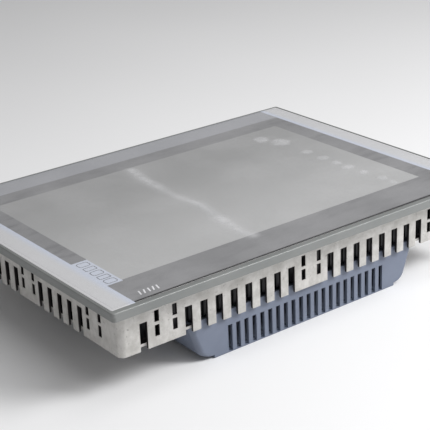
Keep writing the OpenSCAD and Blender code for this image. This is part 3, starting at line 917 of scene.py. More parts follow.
class Draft:
    """A piece that is being modelled with mesh operators, in millimetres."""

    sharp_angle = math.radians(32)

    def __init__(self) -> None:
        """Starts with an empty mesh."""
        self.mesh = bmesh.new()

    def plate(self, outline: Outline, z: float) -> BMFace:
        """Adds one level face.

        Args:
            outline: Its shape.
            z: Its level.

        Returns:
            The face.
        """
        known = set(self.mesh.faces)
        corners = bmesh.ops.create_grid(self.mesh, x_segments=1, y_segments=1, size=0.5)["verts"]
        bmesh.ops.scale(self.mesh, vec=(outline.width, outline.height, 1), verts=corners)
        bmesh.ops.translate(self.mesh, vec=(outline.x, outline.y, z), verts=corners)
        bmesh.ops.bevel(
            self.mesh,
            geom=corners,
            offset=outline.radius,
            segments=outline.steps,
            profile=0.5,
            affect="VERTICES",
            material=-1,
            clamp_overlap=False,
        )
        return next(face for face in self.mesh.faces if face not in known)

    def loft(
        self,
        rings: Sequence[tuple[Outline, float]],
        closed: bool = False,
        caps: Caps = Caps.BOTH,
    ) -> None:
        """Joins level outlines into one skin.

        Args:
            rings: Outlines and their levels, in order.
            closed: True to join the last ring to the first.
            caps: Which ends are closed where the last ring isn't joined to the first.
        """
        plates = [self.plate(outline, z) for outline, z in rings]
        edges = [list(face.edges) for face in plates]
        ends = {Caps.BOTH: [plates[0], plates[-1]], Caps.LAST: [plates[-1]], Caps.NONE: []}
        kept = [] if closed else ends[caps]
        spare = [face for face in plates if face not in kept]
        bmesh.ops.delete(self.mesh, geom=spare, context="FACES_ONLY")
        pairs = list(zip(edges, edges[1:])) + ([(edges[-1], edges[0])] if closed else [])
        for first, second in pairs:
            bmesh.ops.bridge_loops(self.mesh, edges=first + second)

    def box(self, low: Sequence[float], high: Sequence[float]) -> list[BMVert]:
        """Adds a box between two corners and returns its vertices."""
        verts = bmesh.ops.create_cube(self.mesh, size=1.0)["verts"]
        size = Vector(high) - Vector(low)
        bmesh.ops.scale(self.mesh, vec=size, verts=verts)
        bmesh.ops.translate(self.mesh, vec=(Vector(high) + Vector(low)) / 2, verts=verts)
        return verts

    def turned(self, profile: Sequence[tuple[float, float]], steps: int = 32) -> list[BMVert]:
        """Turns a profile about the Z axis.

        Args:
            profile: Radius and height of each of its points.
            steps: Number of faces round the axis.

        Returns:
            The new vertices.
        """
        known = set(self.mesh.verts)
        verts = [self.mesh.verts.new((radius, 0, z)) for radius, z in profile]
        edges = [self.mesh.edges.new(pair) for pair in zip(verts, verts[1:])]
        bmesh.ops.spin(
            self.mesh,
            geom=verts + edges,
            cent=(0, 0, 0),
            axis=(0, 0, 1),
            dvec=(0, 0, 0),
            angle=math.tau,
            steps=steps,
            use_merge=True,
            use_duplicate=False,
        )
        made = [vert for vert in self.mesh.verts if vert not in known]
        bmesh.ops.remove_doubles(self.mesh, verts=made, dist=1e-4)
        return [vert for vert in self.mesh.verts if vert not in known]

    def cut(self, axis: Axis, levels: Iterable[float], keep: Keep = Keep.BOTH) -> None:
        """Cuts the mesh with planes across an axis.

        Args:
            axis: Axis that the planes stand across.
            levels: Where the planes are.
            keep: Which side of them stays.
        """
        for level in levels:
            bmesh.ops.bisect_plane(
                self.mesh,
                geom=[*self.mesh.verts, *self.mesh.edges, *self.mesh.faces],
                plane_co=axis.vector * level,
                plane_no=axis.vector,
                clear_outer=keep is Keep.BELOW,
                clear_inner=keep is Keep.ABOVE,
                dist=1e-4,
            )

    def faces(self, test: Callable[[Vector, Vector], bool]) -> list[BMFace]:
        """The faces whose middle and normal pass a test."""
        self.mesh.normal_update()
        return [face for face in self.mesh.faces if test(face.calc_center_median(), face.normal)]

    def remove(self, test: Callable[[Vector, Vector], bool]) -> None:
        """Deletes the faces whose middle and normal pass a test."""
        bmesh.ops.delete(self.mesh, geom=self.faces(test), context="FACES")

    def push(self, test: Callable[[Vector, Vector], bool], move: Sequence[float]) -> None:
        """Extrudes the faces that pass a test.

        Args:
            test: Test of a face's middle and normal.
            move: How far and where to.
        """
        chosen = self.faces(test)
        made = bmesh.ops.extrude_face_region(self.mesh, geom=chosen)["geom"]
        verts = [item for item in made if isinstance(item, BMVert)]
        left = [face for face in chosen if face.is_valid]
        bmesh.ops.delete(self.mesh, geom=left, context="FACES")
        bmesh.ops.translate(self.mesh, vec=move, verts=verts)

    def join(self, other: "Draft") -> None:
        """Adds another draft's mesh to this one and frees it."""
        data = bpy.data.meshes.new("part")
        other.mesh.to_mesh(data)
        other.mesh.free()
        self.mesh.from_mesh(data)
        bpy.data.meshes.remove(data)

    def orient(self) -> None:
        """Merges doubles and turns all faces outwards."""
        bmesh.ops.remove_doubles(self.mesh, verts=self.mesh.verts, dist=1e-3)
        bmesh.ops.recalc_face_normals(self.mesh, faces=self.mesh.faces)

    def thicken(self, wall: float) -> None:
        """Gives an outer skin its wall, inwards."""
        bmesh.ops.solidify(self.mesh, geom=list(self.mesh.faces), thickness=wall)

    def tidy(self) -> None:
        """Joins flat neighbouring faces."""
        bmesh.ops.dissolve_limit(
            self.mesh, angle_limit=math.radians(0.3), verts=self.mesh.verts, edges=self.mesh.edges
        )

    def edges(
        self, test: Callable[[Vector], bool] | None = None, least: float = 40.0
    ) -> list[BMEdge]:
        """The sharp edges whose middle passes a test.

        Args:
            test: Test of the edge's middle, or None for all of them.
            least: Smallest angle between the edge's two faces, in degrees.

        Returns:
            The edges.
        """
        self.mesh.normal_update()
        return [
            edge
            for edge in self.mesh.edges
            if edge.is_manifold
            and edge.calc_face_angle(0.0) > math.radians(least)
            and (test is None or test((edge.verts[0].co + edge.verts[1].co) / 2))
        ]

    def soften(
        self, width: float, segments: int = 2, test: Callable[[Vector], bool] | None = None
    ) -> None:
        """Rounds the sharp edges.

        Args:
            width: Radius of the rounding.
            segments: Faces across it.
            test: Test of an edge's middle, or None for all of them.
        """
        bmesh.ops.bevel(
            self.mesh,
            geom=self.edges(test),
            offset=width,
            segments=segments,
            profile=0.5,
            affect="EDGES",
            material=-1,
            clamp_overlap=True,
        )

    def move(self, verts: Sequence[BMVert], matrix: Matrix) -> None:
        """Places some vertices."""
        bmesh.ops.transform(self.mesh, matrix=matrix, verts=list(verts))

    def repeat(self, verts: Sequence[BMVert], places: Sequence[Matrix]) -> None:
        """Copies a shape to several places, the last of which takes the original.

        Args:
            verts: The shape's vertices.
            places: Where the copies go.
        """
        chosen = set(verts)
        geom = list(verts)
        geom += [edge for edge in self.mesh.edges if set(edge.verts) <= chosen]
        geom += [face for face in self.mesh.faces if set(face.verts) <= chosen]
        for place in places[:-1]:
            made = bmesh.ops.duplicate(self.mesh, geom=geom)["geom"]
            self.move([item for item in made if isinstance(item, BMVert)], place)
        self.move(verts, places[-1])

    def piece(
        self, name: str, finish: Finish, stands_for: Sequence[str] = (), body: str = PANEL
    ) -> bpy.types.Object:
        """Makes the finished object.

        Args:
            name: The piece's name.
            finish: Its finish.
            stands_for: CAD nodes that it replaces.
            body: The body that it rides on.

        Returns:
            The object.
        """
        self.mesh.normal_update()
        for face in self.mesh.faces:
            face.smooth = True
        for edge in self.mesh.edges:
            edge.smooth = not (edge.is_manifold and edge.calc_face_angle(0.0) > self.sharp_angle)
        bmesh.ops.scale(self.mesh, vec=(MM, MM, MM), verts=self.mesh.verts)
        data = bpy.data.meshes.new(name)
        self.mesh.to_mesh(data)
        self.mesh.free()
        made = bpy.data.objects.new(name, data)
        bpy.context.scene.collection.objects.link(made)
        data.materials.append(finish.material())
        shading = made.modifiers.new("even_shading", "WEIGHTED_NORMAL")
        shading.keep_sharp = True
        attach(made, body)
        if stands_for:
            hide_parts(*stands_for)
        LOG.info("%s: %d faces on %s", name, len(data.polygons), body)
        return made


# ---------- studio ----------


@dataclass
class Studio:
    """Camera, lights and floor.

    Attributes:
        eye: The camera's place in metres.
        aim: A point on its optical axis in metres.
        roll: How far the camera is turned about that axis, in degrees.
        lens: Focal length in millimetres.
        sensor: Width of the sensor in millimetres.
        reach: Nearest and farthest distance that the camera sees, in metres.
        floor_size: Length of the floor's sides in metres.
        lamps: Name, place and width in metres, and power in watts, of each soft box.
        lit: The point that the soft boxes face, in metres.
        room: Brightness of the surroundings.
    """

    eye: tuple[float, float, float] = (0.5177, 0.6940, 0.4012)
    aim: tuple[float, float, float] = (0.0264, 0.0400, 0.0650)
    roll: float = -2.27
    lens: float = 106.86
    sensor: float = 36.0
    reach: tuple[float, float] = (0.01, 50.0)
    floor_size: float = 14.0
    lamps: tuple[tuple[str, tuple[float, float, float], float, float], ...] = (
        ("key", (-0.8, 0.9, 1.0), 0.6, 20.0),
        ("overhead", (-0.15, 0.6, 1.35), 1.2, 8.5),
    )
    lit: tuple[float, float, float] = (0.0, 0.0, 0.03)
    room: float = 0.28

    def camera(self) -> None:
        """Makes the scene's camera."""
        data = bpy.data.cameras.new("camera")
        data.lens = self.lens
        data.sensor_width = self.sensor
        data.clip_start, data.clip_end = self.reach
        data.dof.use_dof = False
        made = bpy.data.objects.new("camera", data)
        bpy.context.scene.collection.objects.link(made)
        way = Vector(self.aim) - Vector(self.eye)
        roll = Matrix.Rotation(math.radians(self.roll), 3, "Z")
        turn = way.to_track_quat("-Z", "Y").to_matrix() @ roll
        made.matrix_world = Matrix.Translation(self.eye) @ turn.to_4x4()
        bpy.context.scene.camera = made

    def lamp(self, name: str, place: Sequence[float], size: float, power: float) -> None:
        """Makes one square soft box that faces the panel.

        Args:
            name: The lamp's name.
            place: Where it hangs, in metres.
            size: Its width in metres.
            power: Its power in watts.
        """
        data = bpy.data.lights.new(name, "AREA")
        data.shape = "RECTANGLE"
        data.size = data.size_y = size
        data.energy = power
        made = bpy.data.objects.new(name, data)
        bpy.context.scene.collection.objects.link(made)
        way = Vector(self.lit) - Vector(place)
        turn = way.to_track_quat("-Z", "Y").to_matrix().to_4x4()
        made.matrix_world = Matrix.Translation(place) @ turn

    def surroundings(self) -> None:
        """Makes the even light of a white room."""
        world = bpy.data.worlds.new("room")
        bpy.context.scene.world = world
        world.use_nodes = True
        world.node_tree.nodes["Background"].inputs[0].default_value = (1.0, 1.0, 1.0, 1.0)
        world.node_tree.nodes["Background"].inputs[1].default_value = self.room

    def floor(self) -> None:
        """Makes the pale floor."""
        mesh = bmesh.new()
        bmesh.ops.create_grid(mesh, x_segments=4, y_segments=4, size=self.floor_size / 2)
        data = bpy.data.meshes.new("floor")
        mesh.to_mesh(data)
        mesh.free()
        made = bpy.data.objects.new("floor", data)
        bpy.context.scene.collection.objects.link(made)
        graph = Graph("floor_paper")
        cloud = graph.clouds(600, 2.0).ramp(*EVEN)
        graph.surface(graph.mix(cloud, tint(236, 236, 237), tint(238, 238, 239)), 0.7 + 0.05 * cloud)
        data.materials.append(graph.material)

    def build(self) -> None:
        """Sets the whole studio up."""
        bpy.context.scene.view_settings.view_transform = "Standard"
        self.camera()
        self.floor()
        self.surroundings()
        for lamp in self.lamps:
            self.lamp(*lamp)


# ---------- front ----------


@dataclass
class FrontFrame:
    """The bezel and the seal behind it.

    Attributes:
        corner: Radius of the bezel's corners.
        inner_corner: Radius of the recess's corners.
        rim_top: Width of the rim along the display's top edge.
        rim_side: Width of the rim on the other edges.
        ledge: Depth of the recess under the front face.
        window: Width and height of the window.
        shift: How far the window's centre lies off the front's, both ways.
        step: How far the lower half of the short sides is set back.
        step_height: Height of that lower half.
        rounding: Radius of the rim's outer edge.
        groove: Depth of the seal's groove.
        seal_wide: Width of the seal's groove.
        seal_corners: Outer and inner corner radius of that groove.
        window_corner: Radius of the window's corners.
        chamfer: Height of the slope above the set back half.
        fine: Radius of the smaller edges.
        seal_play: Gap between the seal and each side of its groove.
        seal_crown: Width and height of the seal's crown, and of its middle.
    """

    corner: float = 2.5
    inner_corner: float = 1.2
    rim_top: float = 4.3
    rim_side: float = 1.8
    ledge: float = 3.1
    window: tuple[float, float] = (292.0, 198.0)
    shift: float = 2.0
    step: float = 0.55
    step_height: float = 2.9
    rounding: float = 0.9
    groove: float = 1.0
    seal_wide: float = 3.6
    seal_corners: tuple[float, float] = (8.5, 4.5)
    window_corner: float = 3.0
    chamfer: float = 0.35
    fine: float = 0.25
    seal_play: float = 0.2
    seal_crown: tuple[tuple[float, float], ...] = ((0.8, 0.7), (0.25, 0.25))

    def bezel(self) -> None:
        """Makes the painted frame."""
        span = Span.of("front_bezel")
        seal = Span.of("mounting_gasket")
        wide, high, _ = span.size
        low, top = span.low.z, span.high.z
        outer = Outline(wide, high, self.corner)
        lower = Outline(wide - 2 * self.step, high - 0.1, self.corner)
        recess = Outline(
            wide - 2 * self.rim_side,
            high - self.rim_side - self.rim_top,
            self.inner_corner,
            y=(self.rim_side - self.rim_top) / 2,
        )
        window = Outline(*self.window, self.window_corner, self.shift, self.shift)
        seal_out = Outline(seal.size.x, seal.size.y, self.seal_corners[0])
        seal_in = seal_out.grown(-self.seal_wide, self.seal_corners[1])
        draft = Draft()
        draft.loft(
            [
                (lower, low),
                (lower, low + self.step_height),
                (outer, low + self.step_height + self.chamfer),
                (outer, top),
                (recess, top),
                (recess, top - self.ledge),
                (window, top - self.ledge),
                (window, low),
                (seal_in, low),
                (seal_in, low + self.groove),
                (seal_out, low + self.groove),
                (seal_out, low),
            ],
            closed=True,
        )
        draft.orient()
        rim = self.rounding

        def outer_edge(at: Vector) -> bool:
            """True on the outer edge of the front face."""
            return at.z > top - TINY and (abs(at.x) > wide / 2 - rim or abs(at.y) > high / 2 - rim)

        def other_edge(at: Vector) -> bool:
            """True on the other edges, apart from the lowest ones."""
            return low + 0.5 < at.z < top - rim - 0.2 or at.z > top - TINY

        draft.soften(rim, 5, outer_edge)
        draft.soften(self.fine, 2, other_edge)
        draft.piece("bezel_frame", BEZEL_PAINT, ["front_bezel"])

    def seal(self) -> None:
        """Makes the rubber seal with its crowned face."""
        span = Span.of("mounting_gasket")
        play = self.seal_play
        out_corner, in_corner = self.seal_corners
        outer = Outline(span.size.x - 2 * play, span.size.y - 2 * play, out_corner - play)
        inner = outer.grown(2 * play - self.seal_wide, in_corner + play)
        low, top = span.low.z, span.high.z - 0.05
        (wide, wide_z), (slim, slim_z) = self.seal_crown
        draft = Draft()
        draft.loft(
            [
                (outer, top),
                (outer, low + wide_z),
                (outer.grown(-slim), low + slim_z),
                (outer.grown(-wide), low),
                (inner.grown(wide), low),
                (inner.grown(slim), low + slim_z),
                (inner, low + wide_z),
                (inner, top),
            ],
            closed=True,
        )
        draft.orient()
        draft.piece("seal_ring", SEAL_RUBBER, ["mounting_gasket"])

    def build(self) -> None:
        """Makes both pieces."""
        self.bezel()
        self.seal()


@dataclass
class FrontPrint:
    """The printed foil, its marks and the clear film over it.

    Attributes:
        marks_x: Middle of the column of outlined marks on the pale patch.
        marks_y: Middle of each outlined mark.
        mark_size: Length of an outlined mark across the column.
        mark_line: Width of its line.
        ink: Height of the marks over the foil.
        bars_x: Middle of each short bar on the surround.
        bars_y: Middle of the bars.
        crease: Path of the film's long crease.
        bubbles: Places where the film has come off.
        cell: Size of the film's mesh cells.
        foil_corner: Radius of the foil's corners.
        foil_edge: Size of the bevel round the foil.
        fold: Height and cover of the long crease.
        fold_wide: Half its width, how much that varies, and over what length.
        fold_broken: Its mean strength, how much that varies, and over what length.
        bubble: Height, cover, highest cover and size of the bubbles.
        bubble_ragged: How ragged the bubbles are, and over what length.
        wave: Height and length of the film's waves, and its mean height.
        mark_shape: Height and corner radius of an outlined mark, per width and in millimetres.
        slim_shape: The same for every second mark.
        bar: Half the width and height of a short bar.
        bar_lean: How far the bars lean in turns, in degrees.
    """

    marks_x: float = 139.6
    marks_y: tuple[float, ...] = (48.5, 56.5, 64.5, 72.5, 80.0)
    mark_size: float = 8.6
    mark_line: float = 0.5
    ink: float = 0.03
    bars_x: tuple[float, ...] = (122.6, 125.8, 129.0, 132.4, 135.8)
    bars_y: float = 106.6
    crease: tuple[tuple[float, float], ...] = (
        (18.8, -75.7),
        (22.8, -50.0),
        (25.4, -27.1),
        (25.5, -8.2),
        (23.4, 7.1),
        (22.8, 18.1),
        (26.4, 40.0),
        (29.0, 54.6),
        (32.4, 75.1),
        (29.6, 86.0),
    )
    bubbles: tuple[tuple[float, float, float], ...] = (
        (-98.7, -60.4, 5.2),
        (-106.0, -45.0, 6.4),
        (-105.8, -13.1, 3.6),
        (-105.0, 5.1, 4.0),
        (-105.2, 20.7, 3.4),
        (-105.8, 33.4, 3.8),
        (-106.5, 48.8, 3.2),
        (-108.4, 67.9, 3.6),
        (-107.9, 78.7, 2.8),
    )
    cell: float = 1.9
    foil_corner: float = 1.0
    foil_edge: float = 0.15
    fold: tuple[float, float] = (0.25, 0.7)
    fold_wide: tuple[float, float, float] = (4.2, 1.5, 21.0)
    fold_broken: tuple[float, float, float] = (0.8, 0.45, 15.0)
    bubble: tuple[float, float, float, float] = (0.2, 0.9, 0.5, 1.35)
    bubble_ragged: tuple[float, float] = (0.35, 4.0)
    wave: tuple[float, float, float] = (0.04, 55.0, 0.1)
    mark_shape: tuple[float, float] = (0.74, 2.0)
    slim_shape: tuple[float, float] = (0.6, 0.9)
    bar: tuple[float, float] = (0.5, 2.7)
    bar_lean: tuple[float, float] = (-14.0, -22.0)

    def foil(self) -> None:
        """Makes the printed foil."""
        span = Span.of("front_foil")
        outline = Outline(span.size.x, span.size.y, self.foil_corner, y=span.centre.y)
        edge, top = self.foil_edge, span.high.z
        draft = Draft()
        draft.loft([(outline, span.low.z), (outline, top - edge), (outline.grown(-edge), top)])
        draft.orient()
        draft.piece("printed_front", PRINTED_FOIL, ["front_foil"])

    def marks(self) -> None:
        """Makes the outlined marks and the short bars, which are no letters."""
        top = Span.of("front_foil").high.z
        outlined = Draft()
        for index, y in enumerate(self.marks_y):
            share, radius = self.slim_shape if index % 2 else self.mark_shape
            size = self.mark_size
            verts = self.outlined_mark(outlined, size, size * share, radius)
            outlined.move(verts, Matrix.Translation((self.marks_x, y, top)))
        outlined.orient()
        outlined.piece("outlined_marks", MARK_GREY)
        bars = Draft()
        for index, x in enumerate(self.bars_x):
            wide, high = self.bar
            verts = bars.box((-wide, -high, 0), (wide, high, self.ink))
            lean = Matrix.Rotation(math.radians(self.bar_lean[index % 2]), 4, "Z")
            bars.move(verts, Matrix.Translation((x, self.bars_y, top)) @ lean)
        bars.soften(0.1, 1)
        bars.piece("short_bars", MARK_WHITE)

    def outlined_mark(self, draft: Draft, wide: float, high: float, radius: float) -> list[BMVert]:
        """Adds one flat ring with round corners at the origin.

        Args:
            draft: The mesh to add to.
            wide: Its length along X.
            high: Its length along Y.
            radius: Radius of its corners.

        Returns:
            The ring's vertices.
        """
        known = set(draft.mesh.verts)
        inner = draft.plate(Outline(wide, high, radius, steps=6), self.ink)
        ring = bmesh.ops.inset_region(
            draft.mesh,
            faces=[inner],
            thickness=self.mark_line,
            use_boundary=True,
            use_even_offset=True,
        )["faces"]
        bmesh.ops.delete(draft.mesh, geom=[inner], context="FACES_ONLY")
        bmesh.ops.solidify(draft.mesh, geom=ring, thickness=self.ink)
        return [vert for vert in draft.mesh.verts if vert not in known]

    def lift(self, x: float, y: float) -> tuple[float, float]:
        """How far the film stands off the foil at a point.

        Args:
            x: The point along X.
            y: The point along Y.

        Returns:
            The height in millimetres, and how white the film is made from 0 to 1, partly whitening and
            partly painted highlight.
        """
        at = Vector((x, y))
        best = math.inf
        for start, end in zip(self.crease, self.crease[1:]):
            first, second = Vector(start), Vector(end)
            along = second - first
            share = min(1.0, max(0.0, (at - first).dot(along) / along.length_squared))
            best = min(best, (at - first - along * share).length)

        def varied(layer: float, length: float) -> float:
            """Smooth noise at the point."""
            return noise.noise(Vector((x, y, layer)) / length)

        wide, change, length = self.fold_wide
        fold = math.exp(-((best / (wide + change * varied(3.0, length))) ** 2))
        strength, change, length = self.fold_broken
        height = self.fold[0] * fold
        # the film's whitening along the crease and over the bubbles, partly painted highlight
        whitening_and_sheen = self.fold[1] * fold * (strength + change * varied(9.0, length))
        rise, cover, most, size = self.bubble
        ragged, length = self.bubble_ragged
        for bx, by, radius in self.bubbles:
            reach = radius * size * (1 + ragged * varied(bx, length))
            share = max(0.0, 1 - ((at - Vector((bx, by))).length / reach) ** 2)
            height += rise * share
            whitening_and_sheen += min(most, cover * share)
        swell, length, mean = self.wave
        return height + swell * varied(0.0, length) + mean, min(1.0, max(0.0, whitening_and_sheen))

    def film(self) -> None:
        """Makes the creased protective film."""
        span = Span.of("protective_film")
        wide, high, thick = span.size
        draft = Draft()
        mesh = draft.mesh
        bmesh.ops.create_grid(
            mesh, x_segments=round(wide / self.cell), y_segments=round(high / self.cell), size=0.5
        )
        bmesh.ops.scale(mesh, vec=(wide, high, 1), verts=mesh.verts)
        bmesh.ops.translate(mesh, vec=(span.centre.x, span.centre.y, span.low.z), verts=mesh.verts)
        layer = mesh.verts.layers.float.new(CLEAR_FILM.crease)
        for vert in mesh.verts:
            height, whitening_and_sheen = self.lift(vert.co.x, vert.co.y)
            vert.co.z += height
            vert[layer] = whitening_and_sheen
        made = draft.piece("creased_film", CLEAR_FILM, ["protective_film"])
        made.modifiers.clear()
        skin = made.modifiers.new("film_thickness", "SOLIDIFY")
        skin.thickness = thick * MM / 2
        skin.offset = 1.0

    def build(self) -> None:
        """Makes all of the front's printed pieces."""
        self.foil()
        self.marks()
        self.film()


# ---------- housing ----------


@dataclass
class CastHousing:
    """The slotted wall, the flange behind the bezel and the rear web.

    Attributes:
        corner: Radius of its corners.
        wall: Thickness of the slotted wall.
        slot_wide: Width of a slot.
        slot_pitch: Distance between slots.
        slot_top: Upper end of the slots.
        clip_wide: Width of a clip hole.
        clip_pitch: Distance between the two columns of clip holes.
        clip_levels: Lower and upper ends of the clip holes.
        long_pairs: Middle of each pair of columns on the long sides.
        short_pairs: Middle of each pair of columns on the short sides.
        long_slots: Slots between two pairs on the long sides.
        short_slots: Slots between two pairs on the short sides.
        end_slot: Middle of the slots nearest the corners on the long sides.
        web_levels: Lower and upper side of the rear web.
        web_hole: Half the width of the web's opening, its edge on the sockets' side, and
            how far it draws in towards the slots.
        flange_low: Underside of the flange behind the bezel.
        flange_hole: Width and height of the flange's opening.
        flange_corner: Radius of that opening's corners.
        shift: How far that opening's centre lies off the housing's, both ways.
        overlap: How far the web and the flange reach into the wall.
        rounding: Radius of the wall's edges.
        fine: Radius of the web's edges.
    """

    corner: float = 4.5
    wall: float = 2.0
    slot_wide: float = 5.8
    slot_pitch: float = 12.15
    slot_top: float = 46.2
    clip_wide: float = 3.6
    clip_pitch: float = 13.7
    clip_levels: tuple[tuple[float, float], ...] = ((33.7, 41.5), (43.6, 51.5))
    long_pairs: tuple[float, ...] = (-120.0, 0.0, 120.0)
    short_pairs: tuple[float, ...] = (-80.6, 0.0, 80.6)
    long_slots: int = 8
    short_slots: int = 5
    end_slot: float = 137.0
    web_levels: tuple[float, float] = (29.0, 31.0)
    web_hole: tuple[float, float, float] = (102.2, -69.5, 3.0)
    flange_low: float = 56.6
    flange_hole: tuple[float, float] = (288.0, 187.0)
    flange_corner: float = 4.0
    shift: float = 2.0
    overlap: float = 0.05
    rounding: float = 0.3
    fine: float = 0.25

    def columns(self, pairs: Sequence[float], count: int, ends: Sequence[float]) -> tuple[list, list]:
        """The openings of one side.

        Args:
            pairs: Middle of each pair of clip hole columns.
            count: Slots between two pairs.
            ends: Middle of each further slot.

        Returns:
            The low and high end of each slot, and of each clip hole column.
        """
        half = self.slot_wide / 2
        middles = [(a + b) / 2 for a, b in zip(pairs, pairs[1:])]
        slots = [m + (i - (count - 1) / 2) * self.slot_pitch for m in middles for i in range(count)]
        clips = [p + s * self.clip_pitch / 2 for p in pairs for s in (-1, 1)]
        grip = self.clip_wide / 2
        return (
            [(at - half, at + half) for at in [*slots, *ends]],
            [(at - grip, at + grip) for at in clips],
        )

    def skirt(self, draft: Draft, span: Span) -> None:
        """Adds the slotted wall.

        Args:
            draft: The mesh to add to.
            span: The housing's box.
        """
        outline = Outline(span.size.x, span.size.y, self.corner)
        draft.loft([(outline, span.low.z), (outline, span.high.z)], caps=Caps.NONE)
        sides = {
            Axis.X: self.columns(self.long_pairs, self.long_slots, (-self.end_slot, self.end_slot)),
            Axis.Y: self.columns(self.short_pairs, self.short_slots, ()),
        }
        levels = {self.slot_top, *(z for level in self.clip_levels for z in level)}
        draft.cut(Axis.Z, sorted(levels))
        for axis, (slots, clips) in sides.items():
            draft.cut(axis, [at for pair in slots + clips for at in pair])

        def open_here(at: Vector, normal: Vector) -> bool:
            """True for a face in a slot or a clip hole."""
            faces_y = abs(normal.y) > FLAT
            along, openings = (at.x, sides[Axis.X]) if faces_y else (at.y, sides[Axis.Y])
            if max(abs(normal.x), abs(normal.y)) < FLAT:
                return False
            slots, clips = openings
            if at.z < self.slot_top and any(low < along < high for low, high in slots):
                return True
            in_level = any(low < at.z < high for low, high in self.clip_levels)
            return in_level and any(low < along < high for low, high in clips)

        draft.orient()
        draft.remove(open_here)
        draft.thicken(self.wall)
        draft.tidy()
        draft.soften(self.rounding, 2)

    def web(self, draft: Draft, span: Span) -> None:
        """Adds the rear web round the cover.

        Args:
            draft: The mesh to add to.
            span: The housing's box.
        """
        part = Draft()
        outer = Outline(span.size.x, span.size.y, self.corner).grown(self.overlap - self.wall)
        side, low_y, inset = self.web_hole
        bend = span.size.y / 2 - self.wall - inset + 0.2
        low, high = self.web_levels
        part.plate(outer, high)
        part.cut(Axis.X, (-side, inset - side, side - inset, side))
        part.cut(Axis.Y, (low_y, bend))
        part.remove(
            lambda at, normal: low_y < at.y and abs(at.x) < (side if at.y < bend else side - inset)
        )
        part.thicken(high - low)
        part.tidy()
        part.soften(self.fine, 2, lambda at: abs(at.x) < side + 1 and low_y - 1 < at.y < bend + 1)
        draft.join(part)

    def flange(self, draft: Draft, span: Span) -> None:
        """Adds the flange behind the bezel.

        Args:
            draft: The mesh to add to.
            span: The housing's box.
        """
        part = Draft()
        outer = Outline(span.size.x, span.size.y, self.corner).grown(self.overlap - self.wall)
        inner = Outline(*self.flange_hole, self.flange_corner, self.shift, self.shift)
        low, high = self.flange_low, span.high.z - 0.02
        part.loft([(outer, high), (outer, low), (inner, low), (inner, high)], closed=True)
        part.orient()
        draft.join(part)

    def build(self) -> None:
        """Makes the housing as one casting."""
        span = Span.of("housing_frame")
        draft = Draft()
        self.skirt(draft, span)
        self.web(draft, span)
        self.flange(draft, span)
        draft.piece("cast_housing", CAST_ALUMINIUM, ["housing_frame"])


# ---------- rear cover ----------


